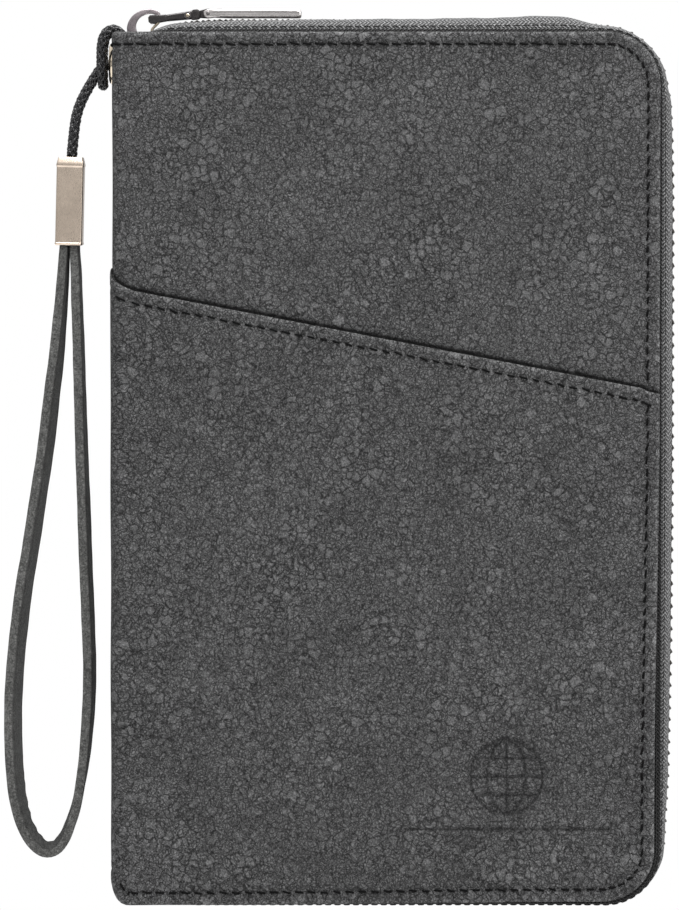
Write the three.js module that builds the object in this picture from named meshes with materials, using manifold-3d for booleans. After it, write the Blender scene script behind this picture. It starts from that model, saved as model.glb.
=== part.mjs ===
// Zip-around passport wallet with a wrist strap.
// Millimetres, +Z up. The wallet is closed and stands on its bottom edge:
// +X runs from the spine to the zipped side, the front cover faces -Y,
// and the origin is at the middle of the wallet's footprint.
import * as THREE from 'three';
import { mergeVertices } from 'three/addons/utils/BufferGeometryUtils.js';
import Module from 'manifold-3d';

const wasm = await Module();
wasm.setup();

// ---- driving dimensions -------------------------------------------------
const HEIGHT = 206;          // cover height
const SPINE_X = -66.0;       // outer face of the spine leather
const EDGE_X = 63.2;         // zipped side edge of the covers
const FOLD_Y = 10.5;         // half thickness at the fold lines (outer face of the cover leather)
const LEATHER = 1.0;
const POCKET = 1.0;          // outer slip pocket panel
const WRAP = 0.6;            // the same panel where it is skived to go round the spine
const BOARD = 1.0;
const LINING = 0.6;
const CORNER = 12.6;         // radius of the covers' free corners
const COVER_X0 = SPINE_X + 1.5;
const LINING_X0 = SPINE_X + 2.3;
const SPINE_GAP = 0.3;       // clearance between spine and covers at each fold
const FOOT = 3.5;            // the spine ends this far above the standing edge

const TAPE = 0.5;            // zip tape thickness
const TAPE_IN = 5.2;         // width of tape sewn between leather and lining
const COIL_T = 1.4;          // coil height, outward from the tape
const COIL_Y0 = 0.7;         // slot between the two coil halves, half width
const COIL_Y1 = 2.7;
const RUN_DEG = 3.57;        // slope of the straight slider run
const RUN_TAN = Math.tan(RUN_DEG * Math.PI / 180);
const SLIDER_X = -59.6;      // slider centre, closed
const SLIDER_N = -2.7;       // coil line there, outward from the covers' top edge
const COIL_FULL = 2.7;       // coil line along the zipped side
const SLIDER_HALF = 3.4;
const PLATE_W = 4.1;         // half width of the slider plates
const PIVOT_A = [-56.6, 209.1];  // pull link pivot on the crown (x, z)
const PIVOT_B = [-43.5, 210.5];  // pull tab pivot on the link (x, z)
const TAB_END = -21.4;

const EYELET_Z = 198.6;
const EYELET_R = 5.0;
const EYELET_HOLE = 2.6;
const CORD = 2.6;

const SLEEVE = { x: -76.15, z: 165.55, w: 6.2, d: 9.0, h: 20.5, wall: 0.7, tilt: 1.4 };
const STRAP_W = 7.0;
const STRAP_T = 2.3;

// ---- materials ----------------------------------------------------------
const mat = (c, r, m = 0) => new THREE.MeshStandardMaterial({ color: new THREE.Color(...c), roughness: r, metalness: m });
const LEATHER_M = mat([0.085, 0.085, 0.086], 0.85);
const LINING_M = mat([0.05, 0.05, 0.053], 0.9);
const BOARD_M = mat([0.25, 0.22, 0.18], 0.9);
const TAPE_M = mat([0.06, 0.06, 0.062], 0.9);
const COIL_M = mat([0.07, 0.07, 0.072], 0.45);
const METAL_M = mat([0.62, 0.58, 0.58], 0.3, 1);
const BRASS_M = mat([0.66, 0.55, 0.43], 0.35, 1);
const CORD_M = mat([0.03, 0.03, 0.032], 0.6);

const root = new THREE.Group();
root.name = 'passport_wallet';

function add(name, geometry, material) {
  const m = new THREE.Mesh(geometry, material);
  m.name = name;
  root.add(m);
  return m;
}

// ---- helpers ------------------------------------------------------------
// A plan shape in X-Z, extruded between two Y values.
function slab(shape, y0, y1, segments = 6) {
  const g = new THREE.ExtrudeGeometry(shape, { depth: Math.abs(y1 - y0), bevelEnabled: false, curveSegments: segments });
  // shape (x, y) -> (X, Z), depth -> -Y
  g.rotateX(Math.PI / 2);
  g.translate(0, Math.max(y0, y1), 0);
  return g;
}

// Outline of a panel in X-Z with its own radius at each corner, from lower left, anticlockwise.
function panel(x0, z0, x1, z1, r) {
  const [ll, lr, ur, ul] = r;
  const s = new THREE.Shape();
  s.moveTo(x0 + ll, z0);
  s.lineTo(x1 - lr, z0);
  if (lr) s.absarc(x1 - lr, z0 + lr, lr, -Math.PI / 2, 0, false);
  s.lineTo(x1, z1 - ur);
  if (ur) s.absarc(x1 - ur, z1 - ur, ur, 0, Math.PI / 2, false);
  s.lineTo(x0 + ul, z1);
  if (ul) s.absarc(x0 + ul, z1 - ul, ul, Math.PI / 2, Math.PI, false);
  s.lineTo(x0, z0 + ll);
  if (ll) s.absarc(x0 + ll, z0 + ll, ll, Math.PI, 1.5 * Math.PI, false);
  return s;
}

// Closed solid through a row of sections, each an array of THREE.Vector3 with the same count.
function loft(sections) {
  const n = sections[0].length;
  const pos = [];
  for (const s of sections) for (const p of s) pos.push(p.x, p.y, p.z);
  const idx = [];
  for (let i = 0; i + 1 < sections.length; i++) {
    for (let j = 0; j < n; j++) {
      const a = i * n + j, b = i * n + (j + 1) % n, c = (i + 1) * n + j, d = (i + 1) * n + (j + 1) % n;
      idx.push(a, b, d, a, d, c);
    }
  }
  const cap = (base, flip, sec) => {
    // triangulate the end section in its own plane
    const o = sec[0];
    const u = new THREE.Vector3().subVectors(sec[1], o).normalize();
    let nrm = new THREE.Vector3();
    for (let j = 0; j < n; j++) nrm.add(new THREE.Vector3().crossVectors(sec[j], sec[(j + 1) % n]));
    nrm.normalize();
    const v = new THREE.Vector3().crossVectors(nrm, u);
    const flat = sec.map((p) => {
      const d = new THREE.Vector3().subVectors(p, o);
      return new THREE.Vector2(d.dot(u), d.dot(v));
    });
    for (const [a, b, c] of THREE.ShapeUtils.triangulateShape(flat, [])) {
      if (flip) idx.push(base + a, base + c, base + b);
      else idx.push(base + a, base + b, base + c);
    }
  };
  cap(0, true, sections[0]);
  cap((sections.length - 1) * n, false, sections[sections.length - 1]);
  const g = new THREE.BufferGeometry();
  g.setAttribute('position', new THREE.Float32BufferAttribute(pos, 3));
  g.setIndex(idx);
  // the volume's sign says which way the faces point
  let vol = 0;
  const P = (k) => new THREE.Vector3(pos[3 * k], pos[3 * k + 1], pos[3 * k + 2]);
  for (let k = 0; k < idx.length; k += 3) vol += P(idx[k]).dot(new THREE.Vector3().crossVectors(P(idx[k + 1]), P(idx[k + 2])));
  if (vol < 0) for (let k = 0; k < idx.length; k += 3) [idx[k + 1], idx[k + 2]] = [idx[k + 2], idx[k + 1]];
  g.setIndex(idx);
  g.computeVertexNormals();
  return g;
}

function solid(geometry) {
  const g = geometry.clone();
  g.deleteAttribute('normal');
  g.deleteAttribute('uv');
  const m = mergeVertices(g, 1e-4);
  return new wasm.Manifold(new wasm.Mesh({
    numProp: 3,
    vertProperties: new Float32Array(m.attributes.position.array),
    triVerts: new Uint32Array(m.index.array),
  }));
}

function fromSolid(s) {
  const mesh = s.getMesh();
  const g = new THREE.BufferGeometry();
  g.setAttribute('position', new THREE.Float32BufferAttribute(mesh.vertProperties, 3));
  g.setIndex(Array.from(mesh.triVerts));
  g.computeVertexNormals();
  return g;
}

const box = (x0, x1, y0, y1, z0, z1) => {
  const g = new THREE.BoxGeometry(x1 - x0, y1 - y0, z1 - z0);
  g.translate((x0 + x1) / 2, (y0 + y1) / 2, (z0 + z1) / 2);
  return g;
};

// Round bar along Y.
const barY = (r, y0, y1, x, z, seg = 16) => {
  const g = new THREE.CylinderGeometry(r, r, y1 - y0, seg);
  g.translate(x, (y0 + y1) / 2, z);
  return g;
};

// ---- covers -------------------------------------------------------------
// side -1 is the front cover and +1 the back cover.
const SLANT = (x) => 146.0 - (x - SPINE_X) * 0.1915;   // slanted mouth of the outer slip pockets
const SPINE_MOUTH = 149.6;                             // height of that mouth where it wraps onto the spine

function slipPocketShape() {
  const s = new THREE.Shape();
  const x0 = SPINE_X + 0.3;
  s.moveTo(x0 + 3, 0);
  s.lineTo(EDGE_X - CORNER, 0);
  s.absarc(EDGE_X - CORNER, CORNER, CORNER, -Math.PI / 2, 0, false);
  s.lineTo(EDGE_X, SLANT(EDGE_X));
  s.lineTo(x0 + 4, SLANT(x0 + 4));
  s.lineTo(x0, SPINE_MOUTH - 2.0);
  s.lineTo(x0, 3);
  s.absarc(x0 + 3, 3, 3, Math.PI, 1.5 * Math.PI, false);
  return s;
}

function cover(prefix, side) {
  const y = (v) => side * v;
  add(`${prefix}_cover_leather`, slab(panel(COVER_X0, 0, EDGE_X, HEIGHT, [3, CORNER, CORNER, 1]), y(FOLD_Y), y(FOLD_Y - LEATHER), 8), LEATHER_M);
  add(`${prefix}_slip_pocket`, slab(slipPocketShape(), y(FOLD_Y), y(FOLD_Y + POCKET), 8), LEATHER_M);
  const b = FOLD_Y - LEATHER;
  add(`${prefix}_board`, slab(panel(COVER_X0 + 2, 6, EDGE_X - 6, HEIGHT - 6, [2, 6, 6, 2]), y(b), y(b - BOARD), 4), BOARD_M);
  add(`${prefix}_lining`, slab(panel(LINING_X0, 0.6, EDGE_X - 0.6, HEIGHT - 0.6, [2, CORNER - 0.6, CORNER - 0.6, 1]), y(b - BOARD), y(b - BOARD - LINING), 6), LINING_M);
}
cover('front', -1);
cover('back', 1);

// ---- inner pockets ------------------------------------------------------
const IN_Y = FOLD_Y - LEATHER - BOARD - LINING;   // 7.9: inner face of the lining
const PX0 = -60, PX1 = 57.2, PZ0 = 6;
const CARD_T = 0.5;
add('card_slot_upper', slab(panel(PX0, PZ0, PX1, 172, [2, 6, 1, 1]), -IN_Y, -(IN_Y - CARD_T), 4), LINING_M);
add('card_slot_middle', slab(panel(PX0, PZ0, PX1, 154, [2, 6, 1, 1]), -(IN_Y - CARD_T), -(IN_Y - 2 * CARD_T), 4), LINING_M);
add('card_slot_lower', slab(panel(PX0, PZ0, PX1, 136, [2, 6, 1, 1]), -(IN_Y - 2 * CARD_T), -(IN_Y - 3 * CARD_T), 4), LINING_M);

{
  // full height pocket with a slanted mouth
  const s = new THREE.Shape();
  s.moveTo(PX0, PZ0); s.lineTo(PX1 - 6, PZ0);
  s.absarc(PX1 - 6, PZ0 + 6, 6, -Math.PI / 2, 0, false);
  s.lineTo(PX1, 178); s.lineTo(PX0, 190); s.lineTo(PX0, PZ0);
  add('boarding_pass_pocket', slab(s, IN_Y, IN_Y - 0.6, 4), LINING_M);
  // passport pocket with a thumb notch in its mouth
  const p = new THREE.Shape();
  const zt = 134, nx = 8, nr = 9;
  p.moveTo(-38, PZ0); p.lineTo(PX1 - 6, PZ0);
  p.absarc(PX1 - 6, PZ0 + 6, 6, -Math.PI / 2, 0, false);
  p.lineTo(PX1, zt); p.lineTo(nx + nr, zt);
  p.absarc(nx, zt, nr, 0, -Math.PI, true);
  p.lineTo(-38, zt); p.lineTo(-38, PZ0);
  add('passport_pocket', slab(p, IN_Y - 0.6, IN_Y - 1.2, 8), LINING_M);
}

// ---- spine --------------------------------------------------------------
{
  const yh = FOLD_Y - SPINE_GAP;
  const hole = (g) => {
    const c = new THREE.CylinderGeometry(EYELET_HOLE + 0.3, EYELET_HOLE + 0.3, 8, 24);
    c.rotateZ(Math.PI / 2); c.translate(SPINE_X, 0, EYELET_Z);
    return fromSolid(solid(g).subtract(solid(c)));
  };
  add('spine_leather', hole(box(SPINE_X, SPINE_X + LEATHER, -yh, yh, FOOT, HEIGHT)), LEATHER_M);
  add('spine_lining', hole(box(SPINE_X + LEATHER, SPINE_X + LEATHER + LINING, -yh + 3, yh - 3, FOOT + 0.5, HEIGHT - 0.6)), LINING_M);
  add('spine_lower_panel', box(SPINE_X - WRAP, SPINE_X, -yh, yh, FOOT, SPINE_MOUTH), LEATHER_M);

  // Eyelet: flange outside, barrel through the leather and lining.
  const prof = [
    [EYELET_HOLE, 0.6], [EYELET_R - 0.6, 0.6], [EYELET_R, 0.25], [EYELET_R, 0.02],
    [EYELET_HOLE + 0.25, 0.02], [EYELET_HOLE + 0.25, -1.9], [EYELET_HOLE, -1.9], [EYELET_HOLE, 0.6],
  ].map(([r, h]) => new THREE.Vector2(r, h));
  const eye = new THREE.LatheGeometry(prof, 28);
  eye.rotateZ(Math.PI / 2);           // lathe +Y (outward) -> -X
  eye.translate(SPINE_X, 0, EYELET_Z);
  add('eyelet', orient(eye), BRASS_M);
  const wp = [
    [EYELET_HOLE + 0.4, 0.03], [EYELET_R - 0.4, 0.03], [EYELET_R - 0.4, 0.4], [EYELET_HOLE + 0.4, 0.4], [EYELET_HOLE + 0.4, 0.03],
  ].map(([r, h]) => new THREE.Vector2(r, h));
  const w = new THREE.LatheGeometry(wp, 28);
  w.rotateZ(-Math.PI / 2);            // +Y -> +X
  w.translate(SPINE_X + LEATHER + LINING, 0, EYELET_Z);
  add('eyelet_washer', orient(w), BRASS_M);
}

// Faces outward: flips a closed geometry whose volume comes out negative.
function orient(g) {
  const q = g.index ? g : mergeVertices(g);
  const p = q.attributes.position, id = q.index.array;
  let vol = 0;
  const P = (k) => new THREE.Vector3().fromBufferAttribute(p, k);
  for (let k = 0; k < id.length; k += 3) vol += P(id[k]).dot(new THREE.Vector3().crossVectors(P(id[k + 1]), P(id[k + 2])));
  if (vol < 0) for (let k = 0; k < id.length; k += 3) [id[k + 1], id[k + 2]] = [id[k + 2], id[k + 1]];
  return q;
}

// ---- zip ----------------------------------------------------------------
// Stations along the covers' edge: base point, outward direction, and how far out the coil line lies.
const runLine = (x) => SLIDER_N + (x - SLIDER_X) * RUN_TAN;
function stations(xStart, xEnd) {
  const st = [];
  const xs = [xStart, -40, -20, 0, 20, 26.9, 36, 44, EDGE_X - CORNER];
  for (const x of xs) {
    let p = x <= 26.9 ? runLine(x) : COIL_FULL;
    if (x > 40) p = COIL_FULL - 0.7 * (x - 40) / 12.6;
    st.push({ b: [x, HEIGHT], n: [0, 1], p: x === xs[xs.length - 1] ? 2.0 : p });
  }
  const N = 7;
  for (let i = 1; i <= N; i++) {
    const a = Math.PI / 2 * (1 - i / (N + 1));
    const t = i / (N + 1);
    const p = 0.8 + 1.2 * Math.pow(Math.abs(2 * t - 1), 1.5);
    st.push({ b: [EDGE_X - CORNER + CORNER * Math.cos(a), HEIGHT - CORNER + CORNER * Math.sin(a)], n: [Math.cos(a), Math.sin(a)], p });
  }
  for (const [z, p] of [[HEIGHT - CORNER, 2.0], [186, 2.5], [176, COIL_FULL], [140, COIL_FULL], [100, COIL_FULL], [60, 2.4], [30, 2.0], [18, 1.4], [CORNER, 0.8]]) {
    st.push({ b: [EDGE_X, z], n: [1, 0], p });
  }
  for (let i = 1; i <= N; i++) {
    const a = -Math.PI / 2 * i / (N + 1);
    const t = i / (N + 1);
    const p = 0.8 - 1.8 * Math.min(1, t * 1.3);
    st.push({ b: [EDGE_X - CORNER + CORNER * Math.cos(a), CORNER + CORNER * Math.sin(a)], n: [Math.cos(a), Math.sin(a)], p });
  }
  for (const x of [EDGE_X - CORNER, 30, 0, -30, xEnd]) st.push({ b: [x, 0], n: [0, -1], p: -1.0 });
  return st;
}

const at = (s, n, y) => new THREE.Vector3(s.b[0] + s.n[0] * n, y, s.b[1] + s.n[1] * n);

function tapeSection(s, side) {
  const p = s.p;
  const line = [
    [-TAPE_IN, 9.1], [-0.1, 9.1], [0.75, 8.5],
    [0.75 + (p - 2.0) * 0.45 + 0.3 * Math.max(0, p) / 2.7, 6.3],
    [p - 1.25, 3.9], [p - 1.25, COIL_Y0 + 0.1],
  ];
  const h = TAPE / 2, up = [], lo = [];
  for (let i = 0; i < line.length; i++) {
    const a = line[Math.max(0, i - 1)], b = line[Math.min(line.length - 1, i + 1)];
    let t = [b[0] - a[0], b[1] - a[1]];
    const l = Math.hypot(...t); t = [t[0] / l, t[1] / l];
    const m = [-t[1], t[0]];
    up.push([line[i][0] + m[0] * h, line[i][1] + m[1] * h]);
    lo.push([line[i][0] - m[0] * h, line[i][1] - m[1] * h]);
  }
  return [...up, ...lo.reverse()].map(([n, y]) => at(s, n, side * y));
}

function zipHalf(prefix, side) {
  const tapeSt = stations(-55.8, -54);
  add(`${prefix}_zip_tape`, loft(tapeSt.map((s) => tapeSection(s, side))), TAPE_M);
  const coilSt = stations(-53.6, -50);
  add(`${prefix}_zip_coil`, loft(coilSt.map((s) => [
    at(s, s.p - COIL_T / 2, side * COIL_Y0), at(s, s.p - COIL_T / 2, side * COIL_Y1),
    at(s, s.p + COIL_T / 2 - 0.3, side * COIL_Y1), at(s, s.p + COIL_T / 2, side * (COIL_Y1 - 0.5)), at(s, s.p + COIL_T / 2, side * COIL_Y0),
  ])), COIL_M);
  // top stop: clip at the end of each coil
  const stop = [-55.7, -53.9].map((x) => ({ b: [x, HEIGHT], n: [0, 1], p: runLine(x) }));
  add(`${prefix}_top_stop`, loft(stop.map((s) => [
    at(s, s.p - COIL_T / 2 + 0.02, side * COIL_Y0), at(s, s.p - COIL_T / 2 + 0.02, side * COIL_Y1),
    at(s, s.p + COIL_T / 2, side * COIL_Y1), at(s, s.p + COIL_T / 2, side * COIL_Y0),
  ])), METAL_M);
}
zipHalf('front', -1);
zipHalf('back', 1);
{
  const s = (x) => ({ b: [x, 0], n: [0, -1], p: -1.0 });
  add('bottom_stop', loft([s(-50.4), s(-53.2)].map((q) => [
    at(q, q.p - COIL_T / 2 + 0.02, 0.2), at(q, q.p - COIL_T / 2 + 0.02, COIL_Y1 + 0.2), at(q, q.p + COIL_T / 2, COIL_Y1 + 0.2), at(q, q.p + COIL_T / 2, 0.2),
  ])), METAL_M);
}

// ---- slider -------------------------------------------------------------
{
  // I section across the chain, extruded along the run: two plates joined by the dividing post.
  const s = new THREE.Shape();
  const w = PLATE_W, p = 0.4;
  s.moveTo(-w, -2.6); s.lineTo(w, -2.6); s.lineTo(w, -1.8); s.lineTo(p, -1.8); s.lineTo(p, 1.0);
  s.lineTo(w, 1.0); s.lineTo(w, 1.8); s.lineTo(-w, 1.8); s.lineTo(-w, 1.0); s.lineTo(-p, 1.0);
  s.lineTo(-p, -1.8); s.lineTo(-w, -1.8); s.lineTo(-w, -2.6);
  const g = new THREE.ExtrudeGeometry(s, { depth: 2 * SLIDER_HALF, bevelEnabled: false });
  g.translate(0, 0, -SLIDER_HALF);
  // shape x -> world Y, shape y -> run normal, depth -> along the run
  const a = RUN_DEG * Math.PI / 180;
  const m = new THREE.Matrix4().makeBasis(new THREE.Vector3(0, 1, 0), new THREE.Vector3(-Math.sin(a), 0, Math.cos(a)), new THREE.Vector3(Math.cos(a), 0, Math.sin(a)));
  g.applyMatrix4(m);
  g.translate(SLIDER_X, 0, HEIGHT + SLIDER_N);
  add('slider_body', orient(g), METAL_M);

  const plate = (x) => HEIGHT + SLIDER_N + (x - SLIDER_X) * RUN_TAN + 1.8 / Math.cos(a) + 0.03;
  const [ax, az] = PIVOT_A;
  const c = new THREE.Shape();
  c.moveTo(-62.66, plate(-62.66));
  c.lineTo(-59.9, plate(-59.9));
  for (const [x, z] of [[-60.4, 206.1], [-60.6, 207.0], [-60.1, 208.1], [-59.0, 209.3], [-57.9, 210.0]]) c.lineTo(x, z);
  for (let i = 0; i <= 6; i++) {
    const t = Math.PI / 2 * (1 - i / 6);
    c.lineTo(ax + 1.1 * Math.cos(t), az + 1.1 * Math.sin(t));
  }
  for (const [x, z] of [[-55.8, 207.7], [-56.6, 206.6]]) c.lineTo(x, z);
  c.lineTo(-57.6, plate(-57.6));
  c.lineTo(-56.3, plate(-56.3));
  for (const [x, z] of [[-55.3, 206.4], [-54.5, 207.6]]) c.lineTo(x, z);
  for (let i = 0; i <= 6; i++) {
    const t = Math.PI / 2 * (i / 6);
    c.lineTo(ax + 2.4 * Math.cos(t), az + 2.4 * Math.sin(t));
  }
  for (const [x, z] of [[-57.6, 211.3], [-59.2, 210.5], [-60.9, 209.0], [-62.1, 207.4], [-62.5, 206.3]]) c.lineTo(x, z);
  c.closePath();
  add('slider_crown', orient(slab(c, -1.3, 1.3)), METAL_M);
}

// ---- pull ---------------------------------------------------------------
{
  const [ax, az] = PIVOT_A, [bx, bz] = PIVOT_B;
  const L = Math.hypot(bx - ax, bz - az), th = Math.atan2(bz - az, bx - ax);
  // built along +X from pivot A, then turned up to pivot B
  let link = solid(barY(0.75, -2.5, 2.5, 0, 0));
  for (const b of [
    box(0, 3.3, 1.7, 2.5, -0.7, 0.7), box(0, 3.3, -2.5, -1.7, -0.7, 0.7),
    box(2.9, 11.1, -2.5, 2.5, -0.75, 0.75), box(11.0, L, -1.2, 1.2, -0.75, 0.75),
    barY(1.2, -1.2, 1.2, L, 0, 20),
  ]) link = link.add(solid(b));
  link = link.subtract(solid(barY(0.85, -2, 2, L, 0, 20)));
  link = link.subtract(solid(barY(0.62, -3, 3, 9.6, 0, 16)));
  const lg = fromSolid(link);
  lg.rotateY(-th);
  lg.translate(ax, 0, az);
  add('pull_link', lg, METAL_M);

  const rv = new THREE.LatheGeometry([[0, -2.9], [0.8, -2.9], [0.8, -2.55], [0.5, -2.55], [0.5, 2.55], [0.8, 2.55], [0.8, 2.9], [0, 2.9]].map(([r, h]) => new THREE.Vector2(r, h)), 16);
  rv.translate(9.6, 0, 0);
  rv.rotateY(-th);
  rv.translate(ax, 0, az);
  add('link_rivet', orient(mergeVertices(strip(rv))), BRASS_M);

  let tab = solid(box(bx + 1.7, TAB_END, -2.5, 2.5, bz - 1.15, bz + 1.15));
  for (const [y0, y1] of [[1.5, 2.5], [-2.5, -1.5]]) {
    tab = tab.add(solid(box(bx, bx + 1.8, y0, y1, bz - 1.1, bz + 1.1)));
    tab = tab.add(solid(barY(1.1, y0, y1, bx, bz, 20)));
  }
  tab = tab.subtract(solid(barY(0.62, -3, 3, bx, bz, 16)));
  add('pull_tab', fromSolid(tab), METAL_M);
  add('tab_pin', barY(0.5, -2.6, 2.6, bx, bz, 16), METAL_M);
}

function strip(g) {
  const q = g.clone();
  q.deleteAttribute('normal');
  q.deleteAttribute('uv');
  return q;
}

// ---- wrist cord ---------------------------------------------------------
{
  // girth hitch: one solid over the spine's top edge, on the outside of the eyelet
  const s = new THREE.Shape();
  const pts = [[-70.2, 194.6], [-67.0, 194.0], [-67.0, 206.4], [-63.6, 206.4], [-63.6, 207.2], [-65.0, 208.8], [-67.4, 208.8], [-69.4, 207.0], [-70.6, 203.6], [-70.7, 197.0]];
  s.moveTo(...pts[0]);
  for (const q of pts.slice(1)) s.lineTo(...q);
  s.closePath();
  add('cord_hitch', orient(slab(s, -5.2, 5.2)), CORD_M);

  // the pair of strands from the hitch to the sleeve, as one oval tube
  const path = [[-71.9, 191.2], [-73.2, 188.9], [-74.2, 185.9], [-74.9, 182.6], [-75.4, 179.6], [-75.75, 176.8], [-75.95, 174.4]];
  const secs = path.map((p, i) => {
    const a = path[Math.max(0, i - 1)], b = path[Math.min(path.length - 1, i + 1)];
    const l = Math.hypot(b[0] - a[0], b[1] - a[1]);
    const m = [-(b[1] - a[1]) / l, (b[0] - a[0]) / l];
    const out = [];
    for (let k = 0; k < 10; k++) {
      const t = 2 * Math.PI * k / 10;
      out.push(new THREE.Vector3(p[0] + m[0] * CORD / 2 * Math.cos(t), CORD * Math.sin(t), p[1] + m[1] * CORD / 2 * Math.cos(t)));
    }
    return out;
  });
  add('strap_cord', loft(secs), CORD_M);
}

// ---- sleeve and strap ---------------------------------------------------
{
  const { x, z, w, d, h, wall, tilt } = SLEEVE;
  const ring = (a, b, r) => {
    const s = new THREE.Shape();
    s.moveTo(-a + r, -b); s.lineTo(a - r, -b); s.absarc(a - r, -b + r, r, -Math.PI / 2, 0, false);
    s.lineTo(a, b - r); s.absarc(a - r, b - r, r, 0, Math.PI / 2, false);
    s.lineTo(-a + r, b); s.absarc(-a + r, b - r, r, Math.PI / 2, Math.PI, false);
    s.lineTo(-a, -b + r); s.absarc(-a + r, -b + r, r, Math.PI, 1.5 * Math.PI, false);
    return s;
  };
  const s = ring(w / 2, d / 2, 1.2);
  s.holes.push(ring(w / 2 - wall, d / 2 - wall, 0.6));
  const g = new THREE.ExtrudeGeometry(s, { depth: h, bevelEnabled: false, curveSegments: 5 });
  g.translate(0, 0, -h / 2);
  g.rotateY(tilt * Math.PI / 180);
  g.translate(x, 0, z);
  add('strap_sleeve', orient(mergeVertices(strip(g))), BRASS_M);

  // strap loop: centre line in X-Z from one end inside the sleeve round to the other, with thickness
  const legs = [
    [-77.35, 166, 2.0], [-77.45, 160, 2.0], [-77.65, 154.8, 2.0], [-78.1, 148, 2.2], [-78.7, 140, 2.3], [-79.6, 130, 2.3], [-80.7, 121.0, 2.3],
    [-81.9, 110.5, 2.3], [-83.2, 101.5, 2.3], [-84.6, 92.5, 2.3], [-86.0, 83.5, 2.3], [-87.5, 74.5, 2.3], [-88.8, 64.5, 2.3], [-89.8, 54, 2.3], [-90.3, 44, 2.3],
    [-90.15, 34, 2.3], [-89.6, 26.5, 2.3], [-88.6, 20.8, 2.3], [-87.2, 16.6, 2.3], [-85.3, 13.4, 2.3], [-82.7, 11.4, 2.3], [-80.1, 11.8, 2.3], [-78.1, 14.2, 2.3],
    [-76.6, 17.8, 2.3], [-75.1, 22.6, 2.3], [-74.0, 28.6, 2.3], [-73.0, 36, 2.3], [-72.2, 46, 2.3], [-72.0, 56, 2.3], [-72.3, 66, 2.3], [-72.7, 76, 2.3],
    [-73.1, 88, 2.3], [-73.5, 100, 2.3], [-73.9, 112, 2.3], [-74.2, 124, 2.3], [-74.5, 134, 2.3], [-74.75, 142, 2.3], [-74.95, 149, 2.2],
    [-75.25, 154.8, 2.0], [-75.2, 160, 2.0], [-75.05, 166, 2.0],
  ];
  const secs = legs.map((p, i) => {
    const a = legs[Math.max(0, i - 1)], b = legs[Math.min(legs.length - 1, i + 1)];
    const l = Math.hypot(b[0] - a[0], b[1] - a[1]);
    const m = [-(b[1] - a[1]) / l, (b[0] - a[0]) / l];
    const t = p[2] / 2;
    return [[-1, -1], [1, -1], [1, 1], [-1, 1]].map(([u, v]) => new THREE.Vector3(p[0] + m[0] * t * u, v * STRAP_W / 2, p[1] + m[1] * t * u));
  });
  add('strap_band', loft(secs), LEATHER_M);
}

export default root;
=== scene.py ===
import math

import bpy
import numpy as np
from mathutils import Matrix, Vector
from mathutils.geometry import delaunay_2d_cdt
from mathutils.kdtree import KDTree


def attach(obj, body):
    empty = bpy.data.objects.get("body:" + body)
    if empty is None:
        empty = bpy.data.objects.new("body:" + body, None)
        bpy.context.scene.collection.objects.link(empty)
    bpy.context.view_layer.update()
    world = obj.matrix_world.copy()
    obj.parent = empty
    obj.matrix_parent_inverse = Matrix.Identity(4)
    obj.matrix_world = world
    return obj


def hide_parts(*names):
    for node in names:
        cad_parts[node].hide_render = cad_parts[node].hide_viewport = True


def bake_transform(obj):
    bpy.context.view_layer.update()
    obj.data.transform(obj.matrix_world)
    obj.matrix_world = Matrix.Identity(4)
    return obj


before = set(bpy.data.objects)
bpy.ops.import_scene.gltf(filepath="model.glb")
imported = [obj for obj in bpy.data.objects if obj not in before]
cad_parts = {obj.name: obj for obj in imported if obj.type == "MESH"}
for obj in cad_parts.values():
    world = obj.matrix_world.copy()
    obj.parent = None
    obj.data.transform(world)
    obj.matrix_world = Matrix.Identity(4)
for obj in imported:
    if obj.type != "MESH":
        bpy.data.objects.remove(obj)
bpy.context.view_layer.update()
MM = 0.001
rng = np.random.RandomState(7)

# ---------------------------------------------------------------- dimensions, in mm, as in the CAD frame
HEIGHT, SPINE_X, EDGE_X, FOLD_Y = 206.0, -66.0, 63.2, 10.5
R_FOLD = 3.0                      # rounding of the leather at each fold
XC = SPINE_X + R_FOLD
ARC = math.pi * R_FOLD / 2
U_SPINE = XC - ARC                # unfolded coordinate where the flat spine starts
U_MID = U_SPINE - (FOLD_Y - R_FOLD)
CORNER = 12.6
EYELET_Z = 198.6
SEAM = 2.9
PITCH = 3.0


def slant(x):
    return 149.3 - (x - SPINE_X) * 0.2165


def smooth(a, b, t):
    t = np.clip((np.asarray(t, float) - a) / (b - a), 0, 1)
    return t * t * (3 - 2 * t)


# ---------------------------------------------------------------- camera
scene = bpy.context.scene
scene.view_settings.view_transform = "Standard"
scene.view_settings.look = "None"
PX = 0.236                        # mm per pixel on the front face
CAM_D, CAM_EL = 1.30, 3.0
cam_data = bpy.data.cameras.new("camera")
cam = bpy.data.objects.new("camera", cam_data)
scene.collection.objects.link(cam)
scene.camera = cam
aim = Vector(((339.5 - 392) * PX * MM, -0.0115, (905.4 - 455) * PX * MM))
el = math.radians(CAM_EL)
back = Vector((0, -math.cos(el), math.sin(el)))
cam.location = aim + back * CAM_D
cam.rotation_mode = "QUATERNION"
cam.rotation_quaternion = (-back).to_track_quat("-Z", "Y")
cam_data.sensor_width = 36
cam_data.lens = 18 * CAM_D / (910 * PX * MM / 2)
cam_data.clip_start, cam_data.clip_end = 0.05, 50


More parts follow.
